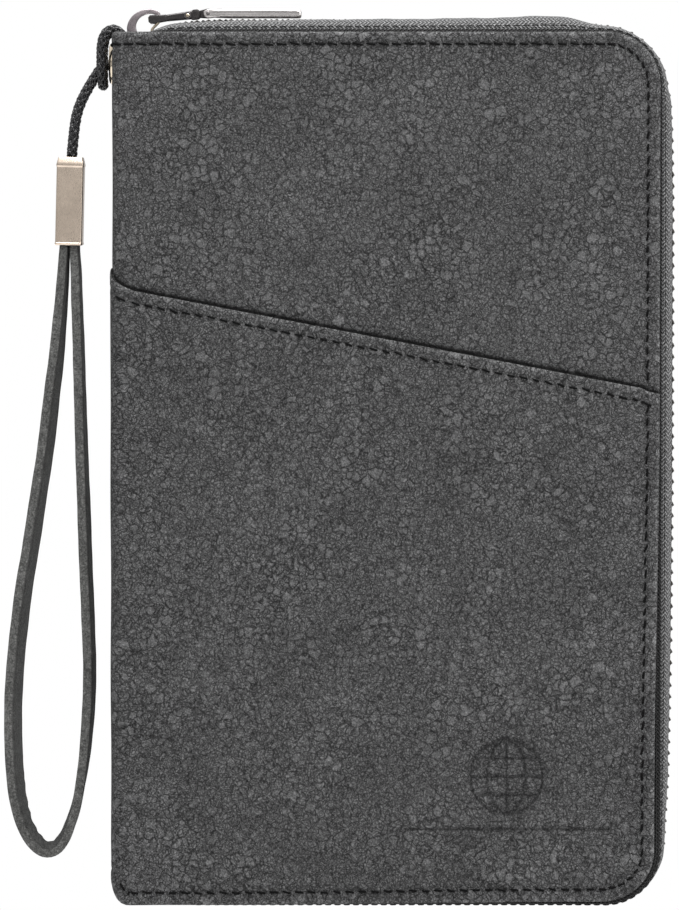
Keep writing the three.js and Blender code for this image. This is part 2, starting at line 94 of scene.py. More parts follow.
# ---------------------------------------------------------------- node materials
class Nodes:
    """Short hand for building a node tree."""

    def __init__(self, name):
        self.mat = bpy.data.materials.new(name)
        self.mat.use_nodes = True
        self.t = self.mat.node_tree
        self.t.nodes.clear()
        self.out = self.t.nodes.new("ShaderNodeOutputMaterial")
        self.b = self.t.nodes.new("ShaderNodeBsdfPrincipled")
        self.t.links.new(self.b.outputs[0], self.out.inputs[0])

    def n(self, kind, ins=None, **props):
        node = self.t.nodes.new("ShaderNode" + kind)
        for k, v in props.items():
            setattr(node, k, v)
        for k, v in (ins or {}).items():
            self.put(node.inputs[k], v)
        return node

    def put(self, sock, v):
        if isinstance(v, bpy.types.NodeSocket):
            self.t.links.new(v, sock)
        elif isinstance(v, bpy.types.Node):
            self.t.links.new(v.outputs[0], sock)
        else:
            sock.default_value = v

    def math(self, op, a, b=0.0, c=0.0, clamp=False):
        m = self.n("Math", operation=op, use_clamp=clamp)
        self.put(m.inputs[0], a)
        self.put(m.inputs[1], b)
        self.put(m.inputs[2], c)
        return m.outputs[0]

    def coords(self, name="grain", scale=1.0):
        a = self.n("Attribute", attribute_name=name, attribute_type="GEOMETRY")
        if scale == 1.0:
            return a.outputs["Vector"]
        v = self.n("VectorMath", operation="SCALE")
        self.put(v.inputs[0], a.outputs["Vector"])
        v.inputs["Scale"].default_value = scale
        return v.outputs[0]

    def noise(self, vec, scale, detail=2.0, rough=0.5, distort=0.0):
        m = self.n("TexNoise", {"Scale": scale, "Detail": detail, "Roughness": rough, "Distortion": distort})
        self.put(m.inputs["Vector"], vec)
        return m.outputs["Fac"]

    def ramp(self, fac, stops):
        r = self.n("ValToRGB")
        self.put(r.inputs[0], fac)
        e = r.color_ramp.elements
        while len(e) < len(stops):
            e.new(0.5)
        for k, (p, c) in enumerate(stops):
            e[k].position = p
            e[k].color = (*c, 1) if len(c) == 3 else c
        return r.outputs[0]

    def remap(self, v, a, b, c, d):
        m = self.n("MapRange")
        self.put(m.inputs[0], v)
        for k, x in zip((1, 2, 3, 4), (a, b, c, d)):
            m.inputs[k].default_value = x
        return m.outputs[0]

    def mix(self, fac, a, b, mode="MIX"):
        m = self.n("Mix", data_type="RGBA", blend_type=mode)
        self.put(m.inputs[0], fac)
        self.put(m.inputs[6], a if not isinstance(a, tuple) else (*a, 1))
        self.put(m.inputs[7], b if not isinstance(b, tuple) else (*b, 1))
        return m.outputs[2]

    def times(self, color, value):
        """colour times a scalar field"""
        v = self.n("VectorMath", operation="SCALE")
        self.put(v.inputs[0], color if not isinstance(color, tuple) else color)
        self.put(v.inputs["Scale"], value)
        return v.outputs[0]

    def bump(self, height, strength=0.5, distance=0.0002, normal=None):
        b = self.n("Bump", {"Strength": strength, "Distance": distance})
        self.put(b.inputs["Height"], height)
        if normal is not None:
            self.put(b.inputs["Normal"], normal)
        return b.outputs[0]

    def set(self, **k):
        names = {"color": "Base Color", "rough": "Roughness", "metal": "Metallic", "normal": "Normal", "spec": "Specular IOR Level",
                 "sheen": "Sheen Weight", "sheen_rough": "Sheen Roughness", "sheen_tint": "Sheen Tint", "coat": "Coat Weight",
                 "coat_rough": "Coat Roughness", "aniso": "Anisotropic"}
        for key, v in k.items():
            if key == "color" and isinstance(v, tuple) and len(v) == 3:
                v = (*v, 1)
            self.put(self.b.inputs[names[key]], v)
        return self.mat


def suede(name, tone, vein=1.0, grain=1.0, sheen=0.04, rough=0.86):
    """Nubuck-like leather: pale islands parted by a fine dark crackle, a speckled nap and broad mottling. Coordinates are the unfolded panel's, in mm."""
    m = Nodes(name)
    v = m.coords()
    warp = m.n("TexNoise", {"Scale": 0.5, "Detail": 3.0})
    m.put(warp.inputs["Vector"], v)
    off = m.n("VectorMath", operation="MULTIPLY_ADD")
    m.put(off.inputs[0], warp.outputs["Color"])
    off.inputs[1].default_value = (2.6, 2.6, 2.6)
    m.put(off.inputs[2], v)
    region = m.remap(m.noise(v, 0.055, 3.0, 0.6), 0.38, 0.62, 0.0, 1.0)
    cell = m.n("TexVoronoi", {"Scale": 0.47, "Randomness": 1.0}, feature="DISTANCE_TO_EDGE")
    m.put(cell.inputs["Vector"], off.outputs[0])
    pick = m.n("TexVoronoi", {"Scale": 0.47, "Randomness": 1.0}, feature="F1")
    m.put(pick.inputs["Vector"], off.outputs[0])
    chosen = m.n("SeparateXYZ")
    m.put(chosen.inputs[0], pick.outputs["Color"])
    island = m.math("MULTIPLY", m.remap(cell.outputs["Distance"], 0.06, 0.26, 0.0, 1.0), m.remap(chosen.outputs[0], 0.48, 0.56, 0.0, 1.0))
    lines = m.remap(cell.outputs["Distance"], 0.01, 0.10, 0.0, 1.0)
    crack = m.n("TexVoronoi", {"Scale": 1.25, "Randomness": 1.0}, feature="DISTANCE_TO_EDGE")
    m.put(crack.inputs["Vector"], off.outputs[0])
    net = m.remap(crack.outputs["Distance"], 0.02, 0.17, 0.0, 1.0)
    broad = m.noise(v, 0.045, 3.0, 0.55)
    mid = m.noise(v, 0.5, 3.0, 0.6, 0.4)
    fine = m.noise(v, 1.75, 3.0, 0.7)
    nap = m.noise(v, 3.3, 2.0, 0.7)
    f = m.remap(broad, 0.3, 0.7, 0.86, 1.14)
    f = m.math("MULTIPLY", f, m.remap(mid, 0.3, 0.7, 0.84, 1.16))
    f = m.math("MULTIPLY", f, m.remap(fine, 0.30, 0.70, 1 - 0.42 * grain, 1 + 0.60 * grain))
    f = m.math("MULTIPLY", f, m.remap(nap, 0.32, 0.68, 1 - 0.40 * grain, 1 + 0.55 * grain))
    # the fine crackle fades out on the pale islands
    keep = m.math("SUBTRACT", 1.0, m.math("MULTIPLY", island, m.math("MULTIPLY", region, 0.9)))
    netf = m.math("SUBTRACT", 1.0, m.math("MULTIPLY", m.math("SUBTRACT", 1.0, net), m.math("MULTIPLY", keep, 0.68 * vein)))
    f = m.math("MULTIPLY", f, netf)
    linef = m.math("SUBTRACT", 1.0, m.math("MULTIPLY", m.math("SUBTRACT", 1.0, lines), m.math("MULTIPLY_ADD", region, 0.22 * vein, 0.38 * vein)))
    f = m.math("MULTIPLY", f, linef)
    f = m.math("MULTIPLY", f, m.math("MULTIPLY_ADD", m.math("MULTIPLY", island, region), 0.19 * vein, 0.985))
    # lighter where worn over an edge, and on the strap a painted highlight along its rims (both from the wear input);
    # darkened by the crease input: painted shade above the pocket mouth and on the strap's broad faces, and the tooled
    # motif's darker lines
    wear = m.n("Attribute", attribute_name="wear", attribute_type="GEOMETRY").outputs["Fac"]
    crease = m.n("Attribute", attribute_name="crease", attribute_type="GEOMETRY").outputs["Fac"]
    f = m.math("MULTIPLY", f, m.math("ADD", 1.0, m.math("MULTIPLY", wear, m.remap(mid, 0.3, 0.7, 0.15, 0.75))))
    f = m.math("MULTIPLY", f, m.math("SUBTRACT", 1.0, m.math("MULTIPLY", crease, 0.86)))
    col = m.times(tone, f)
    h = m.math("ADD", m.math("MULTIPLY", fine, 0.9), m.math("MULTIPLY", nap, 0.45))
    h = m.math("ADD", h, m.math("MULTIPLY", lines, 0.5 * vein))
    h = m.math("ADD", h, m.math("MULTIPLY", net, 0.5 * vein))
    m.set(color=col, rough=m.remap(fine, 0.3, 0.7, rough - 0.08, rough + 0.08), normal=m.bump(h, 0.8, 0.00028), spec=0.12,
          sheen=sheen, sheen_rough=0.45)
    return m.mat


def smooth_leather(name, tone, rough=0.55):
    """Plain inner leather: small pebble grain, a slight gloss."""
    m = Nodes(name)
    v = m.coords()
    vor = m.n("TexVoronoi", {"Scale": 1.3, "Randomness": 1.0}, feature="DISTANCE_TO_EDGE")
    m.put(vor.inputs["Vector"], v)
    cell = m.remap(vor.outputs["Distance"], 0.0, 0.22, 0.0, 1.0)
    fine = m.noise(v, 3.0, 3.0, 0.6)
    broad = m.noise(v, 0.08, 2.0)
    f = m.math("MULTIPLY", m.remap(broad, 0.3, 0.7, 0.9, 1.12), m.remap(cell, 0, 1, 0.72, 1.06))
    f = m.math("MULTIPLY", f, m.remap(fine, 0.3, 0.7, 0.88, 1.12))
    wear = m.n("Attribute", attribute_name="wear", attribute_type="GEOMETRY").outputs["Fac"]
    f = m.math("MULTIPLY", f, m.math("ADD", 1.0, m.math("MULTIPLY", wear, 0.35)))
    h = m.math("ADD", m.math("MULTIPLY", cell, 0.8), m.math("MULTIPLY", fine, 0.3))
    m.set(color=m.times(tone, f), rough=m.remap(fine, 0.3, 0.7, rough - 0.08, rough + 0.1), normal=m.bump(h, 0.6, 0.00015), spec=0.4)
    return m.mat


def woven(name, tone, pitch=0.35, rough=0.8):
    """Plain woven lining: fine crossing threads."""
    m = Nodes(name)
    v = m.coords()
    sep = m.n("SeparateXYZ")
    m.put(sep.inputs[0], v)
    k = 2 * math.pi / pitch
    a = m.math("SINE", m.math("MULTIPLY", sep.outputs[0], k))
    b = m.math("SINE", m.math("MULTIPLY", sep.outputs[2], k))
    w = m.math("ADD", m.math("MULTIPLY", a, b), m.math("MULTIPLY", m.math("ABSOLUTE", a), 0.4))
    n = m.noise(v, 1.2, 3.0, 0.6)
    f = m.math("MULTIPLY", m.remap(w, -1, 1.4, 0.75, 1.25), m.remap(n, 0.3, 0.7, 0.85, 1.15))
    m.set(color=m.times(tone, f), rough=rough, normal=m.bump(w, 0.5, 0.00008), spec=0.3, sheen=0.2, sheen_rough=0.4)
    return m.mat


def herringbone(name, tone):
    """Zip tape: diagonal twill that reverses every wale; its ribs are lighter on their crowns, the weave's own pattern
    with a painted highlight on the thread crowns. grain holds (along, across, 0) in mm.
    """
    m = Nodes(name)
    v = m.coords()
    sep = m.n("SeparateXYZ")
    m.put(sep.inputs[0], v)
    s, t = sep.outputs[0], sep.outputs[1]
    wob = m.noise(v, 1.2, 2.0)
    tri = m.math("PINGPONG", t, 0.95)
    ph = m.math("ADD", m.math("MULTIPLY", m.math("ADD", s, tri), 2 * math.pi / 0.95), m.math("MULTIPLY", wob, 4.0))
    rib = m.remap(m.math("SINE", ph), -1, 1, 0, 1)
    cross = m.remap(m.math("SINE", m.math("MULTIPLY", t, 2 * math.pi / 0.55)), -1, 1, 0, 1)
    n = m.noise(v, 2.6, 3.0, 0.7)
    h = m.math("ADD", m.math("MULTIPLY", rib, 1.0), m.math("MULTIPLY", cross, 0.4))
    f = m.math("MULTIPLY", m.remap(m.math("POWER", rib, 1.5), 0, 1, 0.30, 1.75), m.remap(n, 0.30, 0.70, 0.12, 2.2))
    f = m.math("MULTIPLY", f, m.remap(cross, 0, 1, 0.75, 1.25))
    # painted shade: the tape is darkened where it dives under the leather's edge
    f = m.math("MULTIPLY", f, m.remap(t, 5.35, 6.2, 0.04, 1.0))
    # and painted shade along the bottom edge, read from the crease input
    bottom_shade = m.n("Attribute", attribute_name="crease", attribute_type="GEOMETRY").outputs["Fac"]
    f = m.math("MULTIPLY", f, m.math("SUBTRACT", 1.0, m.math("MULTIPLY", bottom_shade, 0.8)))
    m.set(color=m.times(tone, f), rough=0.5, normal=m.bump(h, 1.0, 0.00035), spec=0.25, sheen=0.05, sheen_rough=0.4)
    return m.mat


def thread(name, tone, rough=0.5, twist=0.55, spec=0.5):
    m = Nodes(name)
    v = m.coords()
    w = m.n("TexWave", {"Scale": 1.0 / twist, "Distortion": 1.5, "Detail": 2.0, "Detail Scale": 2.0}, wave_type="BANDS", bands_direction="DIAGONAL")
    m.put(w.inputs["Vector"], v)
    n = m.noise(v, 4.0, 2.0)
    f = m.math("MULTIPLY", m.remap(w.outputs["Fac"], 0, 1, 0.6, 1.3), m.remap(n, 0.3, 0.7, 0.8, 1.25))
    m.set(color=m.times(tone, f), rough=m.remap(n, 0.3, 0.7, rough - 0.12, rough + 0.12), normal=m.bump(w.outputs["Fac"], 0.6, 0.0001), spec=spec)
    return m.mat


def metal(name, tone, rough=0.28, brush=(1, 1, 14), aniso=0.0, wear=0.3, amount=0.25):
    """Plated metal with fine brushing across the given axis and light handling marks."""
    m = Nodes(name)
    tc = m.n("TexCoord")
    mp = m.n("Mapping")
    m.put(mp.inputs["Vector"], tc.outputs["Object"])
    mp.inputs["Scale"].default_value = tuple(1000 * b for b in brush)
    streak = m.noise(mp.outputs[0], 1.6, 4.0, 0.65)
    mp2 = m.n("Mapping")
    m.put(mp2.inputs["Vector"], tc.outputs["Object"])
    mp2.inputs["Scale"].default_value = (1000, 1000, 1000)
    cloud = m.noise(mp2.outputs[0], 0.35, 3.0, 0.6)
    marks = m.noise(mp2.outputs[0], 2.6, 4.0, 0.7, 1.2)
    f = m.math("MULTIPLY", m.remap(streak, 0.3, 0.7, 1 - amount, 1 + amount * 0.6), m.remap(cloud, 0.3, 0.7, 0.92, 1.06))
    col = m.times(tone, f)
    r = m.math("ADD", m.remap(streak, 0.3, 0.7, rough - 0.06, rough + 0.08), m.remap(marks, 0.62, 0.78, 0.0, wear * 0.3))
    m.set(color=col, metal=1.0, rough=r, normal=m.bump(streak, 0.18, 0.00004), aniso=aniso)
    return m.mat


def plastic(name, tone, rough=0.35):
    m = Nodes(name)
    tc = m.n("TexCoord")
    mp = m.n("Mapping")
    m.put(mp.inputs["Vector"], tc.outputs["Object"])
    mp.inputs["Scale"].default_value = (1000, 1000, 1000)
    n = m.noise(mp.outputs[0], 1.8, 3.0, 0.6)
    fine = m.noise(mp.outputs[0], 7.0, 2.0, 0.6)
    m.set(color=m.times(tone, m.remap(n, 0.3, 0.7, 0.7, 1.35)), rough=m.remap(fine, 0.3, 0.7, rough - 0.1, rough + 0.15),
          normal=m.bump(fine, 0.2, 0.00005), spec=0.25)
    return m.mat


def board(name, tone):
    m = Nodes(name)
    tc = m.n("TexCoord")
    mp = m.n("Mapping")
    m.put(mp.inputs["Vector"], tc.outputs["Object"])
    mp.inputs["Scale"].default_value = (1000, 1000, 220)
    n = m.noise(mp.outputs[0], 1.4, 4.0, 0.7)
    m.set(color=m.times(tone, m.remap(n, 0.3, 0.7, 0.7, 1.3)), rough=0.9, normal=m.bump(n, 0.4, 0.0001))
    return m.mat


G_COVER = 0.068
M_SUEDE = suede("suede_dark_grey", (G_COVER, G_COVER, G_COVER * 1.01))
M_STRAP = suede("suede_strap", (0.060, 0.060, 0.058), vein=0.4, grain=0.95)
M_INNER = smooth_leather("inner_leather", (0.048, 0.048, 0.050))
M_LINING = woven("lining_cloth", (0.036, 0.036, 0.039))
M_TAPE = herringbone("zip_tape_weave", (0.105, 0.105, 0.106))
M_COIL = plastic("zip_coil_nylon", (0.040, 0.036, 0.032), 0.30)
M_SEW = thread("sewing_thread", (0.0022, 0.0022, 0.0022), 0.75, spec=0.10)
M_SEW_ZIP = thread("zip_sewing_thread", (0.03, 0.03, 0.03), 0.5, spec=0.3)
M_NICKEL = metal("nickel_brushed", (0.88, 0.84, 0.825), 0.12, brush=(1, 14, 14), amount=0.3)
M_CROWN = metal("nickel_satin", (0.36, 0.32, 0.335), 0.30, brush=(3, 14, 3), amount=0.12)
M_SLEEVE = metal("champagne_brushed", (0.74, 0.62, 0.51), 0.28, brush=(14, 14, 1), amount=0.14)
M_EYELET = metal("champagne_polished", (0.74, 0.64, 0.50), 0.16, brush=(3, 3, 3), amount=0.08)
M_PIN = metal("pin_dark", (0.20, 0.19, 0.19), 0.35, brush=(3, 3, 3), amount=0.2)
M_DARK = metal("nickel_shaded", (0.10, 0.095, 0.095), 0.22, brush=(3, 3, 3), amount=0.3)
M_BOARD = board("stiffener_board", (0.25, 0.22, 0.17))
M_CORD = thread("waxed_braid", (0.010, 0.010, 0.011), 0.24, twist=0.9)


# ---------------------------------------------------------------- mesh helpers
def mesh_object(name, verts, faces, mat, grain=None, wear=None, smooth_shade=True, sharp=None, crease=None):
    """verts in mm. Flips a closed mesh whose volume comes out negative."""
    verts = np.asarray(verts, float)
    faces = [tuple(int(i) for i in f) for f in faces]
    vol = 0.0
    tri = []
    for f in faces:
        for k in range(1, len(f) - 1):
            tri.append((f[0], f[k], f[k + 1]))
    tri = np.array(tri)
    c = verts.mean(0)
    a, b, d = verts[tri[:, 0]] - c, verts[tri[:, 1]] - c, verts[tri[:, 2]] - c
    vol = np.einsum("ij,ij->i", a, np.cross(b, d)).sum()
    if vol < 0:
        faces = [f[::-1] for f in faces]
    me = bpy.data.meshes.new(name)
    me.from_pydata((verts * MM).tolist(), [], faces)
    me.validate()
    if grain is not None:
        at = me.attributes.new("grain", "FLOAT_VECTOR", "POINT")
        at.data.foreach_set("vector", np.asarray(grain, np.float32).ravel())
    if wear is not None:
        at = me.attributes.new("wear", "FLOAT", "POINT")
        at.data.foreach_set("value", np.asarray(wear, np.float32).ravel())
    # the crease attribute darkens the colour; callers store painted shade in it, and on the front pocket the tooled
    # motif's darker lines
    if crease is not None:
        at = me.attributes.new("crease", "FLOAT", "POINT")
        at.data.foreach_set("value", np.asarray(crease, np.float32).ravel())
    me.polygons.foreach_set("use_smooth", [smooth_shade] * len(me.polygons))
    if sharp is not None:
        me.set_sharp_from_angle(angle=math.radians(sharp))
    me.materials.append(mat)
    me.update()
    o = bpy.data.objects.new(name, me)
    scene.collection.objects.link(o)
    return o


def settle(z):
    """The leather and the zip stand on the bottom edge, which droops a little below the boards."""
    return z - 0.85 * np.clip(1 - np.asarray(z, float) / 45.0, 0, 1) ** 2


def wrap(u, h, z, side):
    """Unfolded leather coordinates to the closed wallet: u across the cover and round the fold, h outward from the leather's outer face, z up."""
    u, h, z = np.broadcast_arrays(np.asarray(u, float), np.asarray(h, float), np.asarray(z, float))
    x, y = u.copy(), -(-(FOLD_Y + h))
    phi = np.clip((XC - u) / R_FOLD, 0, math.pi / 2)
    arc = (u < XC) & (u >= U_SPINE)
    r = np.maximum(R_FOLD + h, 0.15)
    x = np.where(arc, XC - r * np.sin(phi), x)
    y = np.where(arc, (FOLD_Y - R_FOLD) + r * np.cos(phi), y)
    flat = u < U_SPINE
    x = np.where(flat, SPINE_X - h, x)
    y = np.where(flat, (FOLD_Y - R_FOLD) - (U_SPINE - u), y)
    return np.stack([x, side * y, settle(z)], -1)


def resample(pts, tags, step, arc_step=0.42):
    """Closed outline with corners kept, cut to about `step`; finer where it crosses the fold."""
    out, ot = [], []
    n = len(pts)
    for i in range(n):
        a, b = np.array(pts[i], float), np.array(pts[(i + 1) % n], float)
        L = np.linalg.norm(b - a)
        lo, hi = min(a[0], b[0]), max(a[0], b[0])
        st = arc_step if (hi > U_SPINE - 0.5 and lo < XC + 0.5 and hi - lo > 0.2) else step
        k = max(1, int(round(L / st)))
        if lo < U_SPINE - 0.5 and hi > XC + 0.5:
            k = max(k, int(L / arc_step))
        for j in range(k):
            out.append(a + (b - a) * j / k)
            ot.append(tags[i])
    return np.array(out), np.array(ot)


def inside(poly, p):
    """Even-odd test, vectorised."""
    x, y = p[:, 0][:, None], p[:, 1][:, None]
    x0, y0 = poly[:, 0][None], poly[:, 1][None]
    x1, y1 = np.roll(poly[:, 0], -1)[None], np.roll(poly[:, 1], -1)[None]
    res = np.zeros(len(p), bool)
    for s in range(0, len(p), 4000):
        e = slice(s, s + 4000)
        c = ((y0 > y[e]) != (y1 > y[e])) & (x[e] < (x1 - x0) * (y[e] - y0) / (y1 - y0 + 1e-12) + x0)
        res[e] = c.sum(1) % 2 == 1
    return res


def nearest(p, q):
    """Distance from each p to the nearest q."""
    tree = KDTree(len(q))
    for i, c in enumerate(q.tolist()):
        tree.insert((c[0], c[1], 0.0), i)
    tree.balance()
    find = tree.find
    return np.array([find((c[0], c[1], 0.0))[2] for c in p.tolist()])


def inward(loop):
    a, b = np.roll(loop, 1, 0), np.roll(loop, -1, 0)
    t = b - a
    t /= np.linalg.norm(t, axis=1)[:, None] + 1e-12
    n = np.stack([-t[:, 1], t[:, 0]], 1)
    area = 0.5 * np.sum(loop[:, 0] * np.roll(loop[:, 1], -1) - np.roll(loop[:, 0], -1) * loop[:, 1])
    return n if area > 0 else -n


def cdt(loop, extra):
    pts = np.vstack([loop, extra]) if len(extra) else loop
    vs = [Vector(p) for p in pts.tolist()]
    ov, _, of, src, _, _ = delaunay_2d_cdt(vs, [], [list(range(len(loop)))], 1, 1e-5)
    idx = [s[0] if s else -1 for s in src]
    faces = [[idx[i] for i in f] for f in of]
    return pts, [f for f in faces if min(f) >= 0 and len(set(f)) == len(f)]


# rolled and stitched edge: distance in from the edge, height above the panel's face
ROLL = [(0.0, -0.50), (0.06, -0.28), (0.16, -0.12), (0.32, 0.0), (0.55, 0.08), (0.9, 0.13), (1.3, 0.15), (1.75, 0.13), (2.2, 0.08), (2.5, 0.01),
        (2.75, -0.05), (2.9, -0.07), (3.05, -0.05), (3.35, 0.01), (3.85, 0.05), (4.7, 0.05), (6.0, 0.03), (7.6, 0.0)]
PLAIN = [(0.0, -0.25), (0.08, -0.10), (0.22, 0.0), (0.5, 0.03), (1.2, 0.0)]
UNDER = [(0.0, -0.60), (0.3, -0.35), (1.2, -0.10), (2.9, 0.0)]
FOLDED = [(0.0, -0.30), (0.07, -0.08), (0.18, 0.03), (0.40, 0.07), (0.9, 0.08), (1.5, 0.06), (2.1, 0.03), (2.5, -0.01), (2.75, -0.04), (2.9, -0.06),
          (3.05, -0.04), (3.35, 0.0), (3.9, 0.03), (5.0, 0.02), (7.0, 0.0)]
PROFILES = {"roll": ROLL, "plain": PLAIN, "under": UNDER, "fold": FOLDED, "cut": None}
WIDE = {"roll": 8.3, "fold": 7.7, "plain": 1.9, "under": 3.6, "cut": 0.35}


def seam_dip(s, d, seam=SEAM):
    """The leather pulled down at each stitch hole and puckered up between them."""
    hole = (0.5 + 0.5 * np.cos(2 * math.pi * s / PITCH)) ** 3
    return -0.13 * hole * np.exp(-((d - seam) / 0.36) ** 2) + 0.045 * np.sin(2 * math.pi * s / PITCH + 0.8) * np.exp(-((d - seam + 0.85) / 0.5) ** 2) \
        + 0.035 * np.sin(2 * math.pi * s / PITCH + 2.6) * np.exp(-((d - seam - 0.7) / 0.45) ** 2)


def panel(name, pts, tags, side, mat, base, back_h=-1.0, grid=1.7, boxes=(), relief=None, undulate=0.10, step=0.75, seed=0, mapper=None, ripple=0.45, crease=None, dense=None):
    """A leather or cloth panel as a closed solid: outline in unfolded (u, z), a kind of edge for each outline segment,
    base(u, z) the height of its face, and back_h how far below that its back lies."""
    wrapped = mapper or (lambda u, h, z: wrap(u, h, z, side))
    loop, tag = resample(pts, tags, step)
    nrm = inward(loop)
    N = len(loop)
    seg = np.linalg.norm(np.roll(loop, -1, 0) - loop, axis=1)
    s_at = np.concatenate([[0], np.cumsum(seg)[:-1]])
    has = np.array([PROFILES[t] is not None for t in tag])
    coarse = loop[::2]
    ring_p, ring_d, ring_s, ring_t = [], [], [], []
    for kind in set(tag.tolist()):
        prof = PROFILES[kind]
        if prof is None:
            continue
        sel = np.where(tag == kind)[0]
        for d, _ in prof[1:]:
            q = loop[sel] + nrm[sel] * d
            ok = (nearest(q, coarse) >= d * 0.985 - 0.02) & inside(loop, q)
            ring_p.append(q[ok])
            ring_d += [d] * int(ok.sum())
            ring_s.append(s_at[sel][ok])
            ring_t += [kind] * int(ok.sum())
    rings = np.vstack(ring_p) if ring_p else np.zeros((0, 2))
    ring_s = np.concatenate(ring_s) if ring_s else np.zeros(0)
    lo, hi = loop.min(0), loop.max(0)
    us = []
    u = lo[0] + grid * 0.5
    while u < hi[0]:
        us.append(u)
        u += 0.45 if U_SPINE - 0.6 < u < XC + 0.6 else grid
    zs = np.arange(lo[1] + grid * 0.5, hi[1], grid)
    gx, gz = np.meshgrid(us, zs)
    gx = gx + (np.arange(len(zs)) % 2)[:, None] * (grid * 0.5) * (gx > XC + 1)
    gp = np.stack([gx.ravel(), gz.ravel()], 1)
    gp = gp[inside(loop, gp)]
    ctag = tag[::2]
    for t in sorted(set(ctag.tolist())):
        gp = gp[nearest(gp, coarse[ctag == t]) > WIDE[t]]
    parts = [rings]
    for x0, x1, z0, z1, st in boxes:
        gp = gp[~((gp[:, 0] > x0 - st) & (gp[:, 0] < x1 + st) & (gp[:, 1] > z0 - st) & (gp[:, 1] < z1 + st))]
        ex, ez = np.meshgrid(np.arange(x0, x1 + st / 2, st), np.arange(z0, z1 + st / 2, st))
        ex = ex + (np.arange(ex.shape[0]) % 2)[:, None] * st * 0.5
        parts.append(np.stack([ex.ravel(), ez.ravel()], 1))
    if dense is not None:
        dn = np.array(dense, float)
        dn = dn[inside(loop, dn)]
        dn = dn[nearest(dn, coarse) > 0.5]
        if len(rings):
            dn = dn[nearest(dn, rings) > 0.22]
        gp = gp[nearest(gp, dn) > 0.8]
        parts.append(dn)
    parts.append(gp)
    allx = np.vstack(parts)
    P, faces = cdt(loop, allx)
    M = len(P)
    d = np.full(M, 99.0)
    s = np.zeros(M)
    kind = np.array(["none"] * M, dtype=object)
    d[:N], s[:N], kind[:N] = 0, s_at, tag
    k = N + len(rings)
    d[N:k], s[N:k], kind[N:k] = ring_d, ring_s, ring_t
    h = base(P[:, 0], P[:, 1]).astype(float)
    for name_k, prof in PROFILES.items():
        if prof is None:
            continue
        m = kind == name_k
        h[m] += np.interp(d[m], [a for a, _ in prof], [b for _, b in prof])
        if name_k in ("roll", "fold"):
            h[m] += ripple / 0.45 * seam_dip(s[m], d[m])
    if undulate:
        r = np.random.RandomState(seed + 11)
        w = np.zeros(M)
        for _ in range(7):
            kx, kz = r.normal(0, 0.09, 2)
            w += np.sin(P[:, 0] * kx + P[:, 1] * kz + r.rand() * 6.3)
        h += undulate * w / 3.0 * smooth(3.2, 9.0, nearest(P, coarse))
    if relief is not None:
        h += relief(P[:, 0], P[:, 1])
    wear = np.where(d < 1.6, np.exp(-((d - 0.35) / 0.5) ** 2), 0.0) * np.where(kind == "cut", 0, 1)
    front = wrapped(P[:, 0], h, P[:, 1])
    grain = np.stack([P[:, 0], h, P[:, 1]], 1)
    verts, grains, wears = [front], [grain], [wear]
    # painted shade on the cover just above the pocket mouth, or the tooled motif's darker lines on the front pocket
    dark = crease(P[:, 0], P[:, 1]) if crease is not None else np.zeros(M)
    # back rolls
    base_l = base(loop[:, 0], loop[:, 1])
    prev = list(range(N))
    total = M
    depth = -back_h
    rim = [(0.02, -0.5 * (depth + 0.5)), (0.14, -depth + 0.07), (0.5, -depth)] if depth > 0.75 else [(0.02, -0.7 * depth), (0.12, -depth + 0.03), (0.5, -depth)]
    for dd, hh in rim:
        q = loop + nrm * (dd * has[:, None])
        hv = base_l + hh
        verts.append(wrapped(q[:, 0], hv, q[:, 1]))
        grains.append(np.stack([q[:, 0], hv, q[:, 1]], 1))
        wears.append(np.full(N, 0.25) * has)
        cur = list(range(total, total + N))
        for i in range(N):
            j = (i + 1) % N
            faces.append((prev[i], prev[j], cur[j], cur[i]))
        prev = cur
        total += N
    # back face
    bl = loop + nrm * (0.5 * has[:, None])
    us2 = []
    u = lo[0] + 1.2
    while u < hi[0] - 1:
        us2.append(u)
        u += 0.6 if U_SPINE - 0.8 < u < XC + 0.8 else 5.0
    gx, gz = np.meshgrid(us2, np.arange(lo[1] + 2, hi[1] - 1, 5.0))
    gb = np.stack([gx.ravel(), gz.ravel()], 1)
    gb = gb[inside(bl, gb)]
    gb = gb[nearest(gb, bl[::2]) > 0.5]
    Pb, fb = cdt(bl, gb)
    hb = base(Pb[:, 0], Pb[:, 1]) - depth
    remap = {i: prev[i] for i in range(N)}
    for i in range(N, len(Pb)):
        remap[i] = total + i - N
    verts.append(wrapped(Pb[N:, 0], hb[N:], Pb[N:, 1]))
    grains.append(np.stack([Pb[N:, 0], hb[N:], Pb[N:, 1]], 1))
    wears.append(np.zeros(len(Pb) - N))
    # the front fan's winding is the loop's own, so the back is reversed
    faces += [tuple(remap[i] for i in f[::-1]) for f in fb]
    allv = np.vstack(verts)
    o = mesh_object(name, allv, faces, mat, np.vstack(grains), np.concatenate(wears), crease=np.concatenate([dark, np.zeros(len(allv) - M)]))
    return o, loop, tag, nrm, s_at


def arc_pts(cx, cz, r, a0, a1, n):
    return [(cx + r * math.cos(math.radians(a0 + (a1 - a0) * i / n)), cz + r * math.sin(math.radians(a0 + (a1 - a0) * i / n))) for i in range(n + 1)]


def outline(parts):
    """parts: list of (tag, points); consecutive duplicates are dropped."""
    pts, tags = [], []
    for tag, seq in parts:
        for p in seq:
            if pts and math.hypot(p[0] - pts[-1][0], p[1] - pts[-1][1]) < 0.02:
                tags[-1] = tag
                continue
            pts.append(p)
            tags.append(tag)
    if math.hypot(pts[0][0] - pts[-1][0], pts[0][1] - pts[-1][1]) < 0.02:
        pts.pop()
        tags.pop()
    return pts, tags


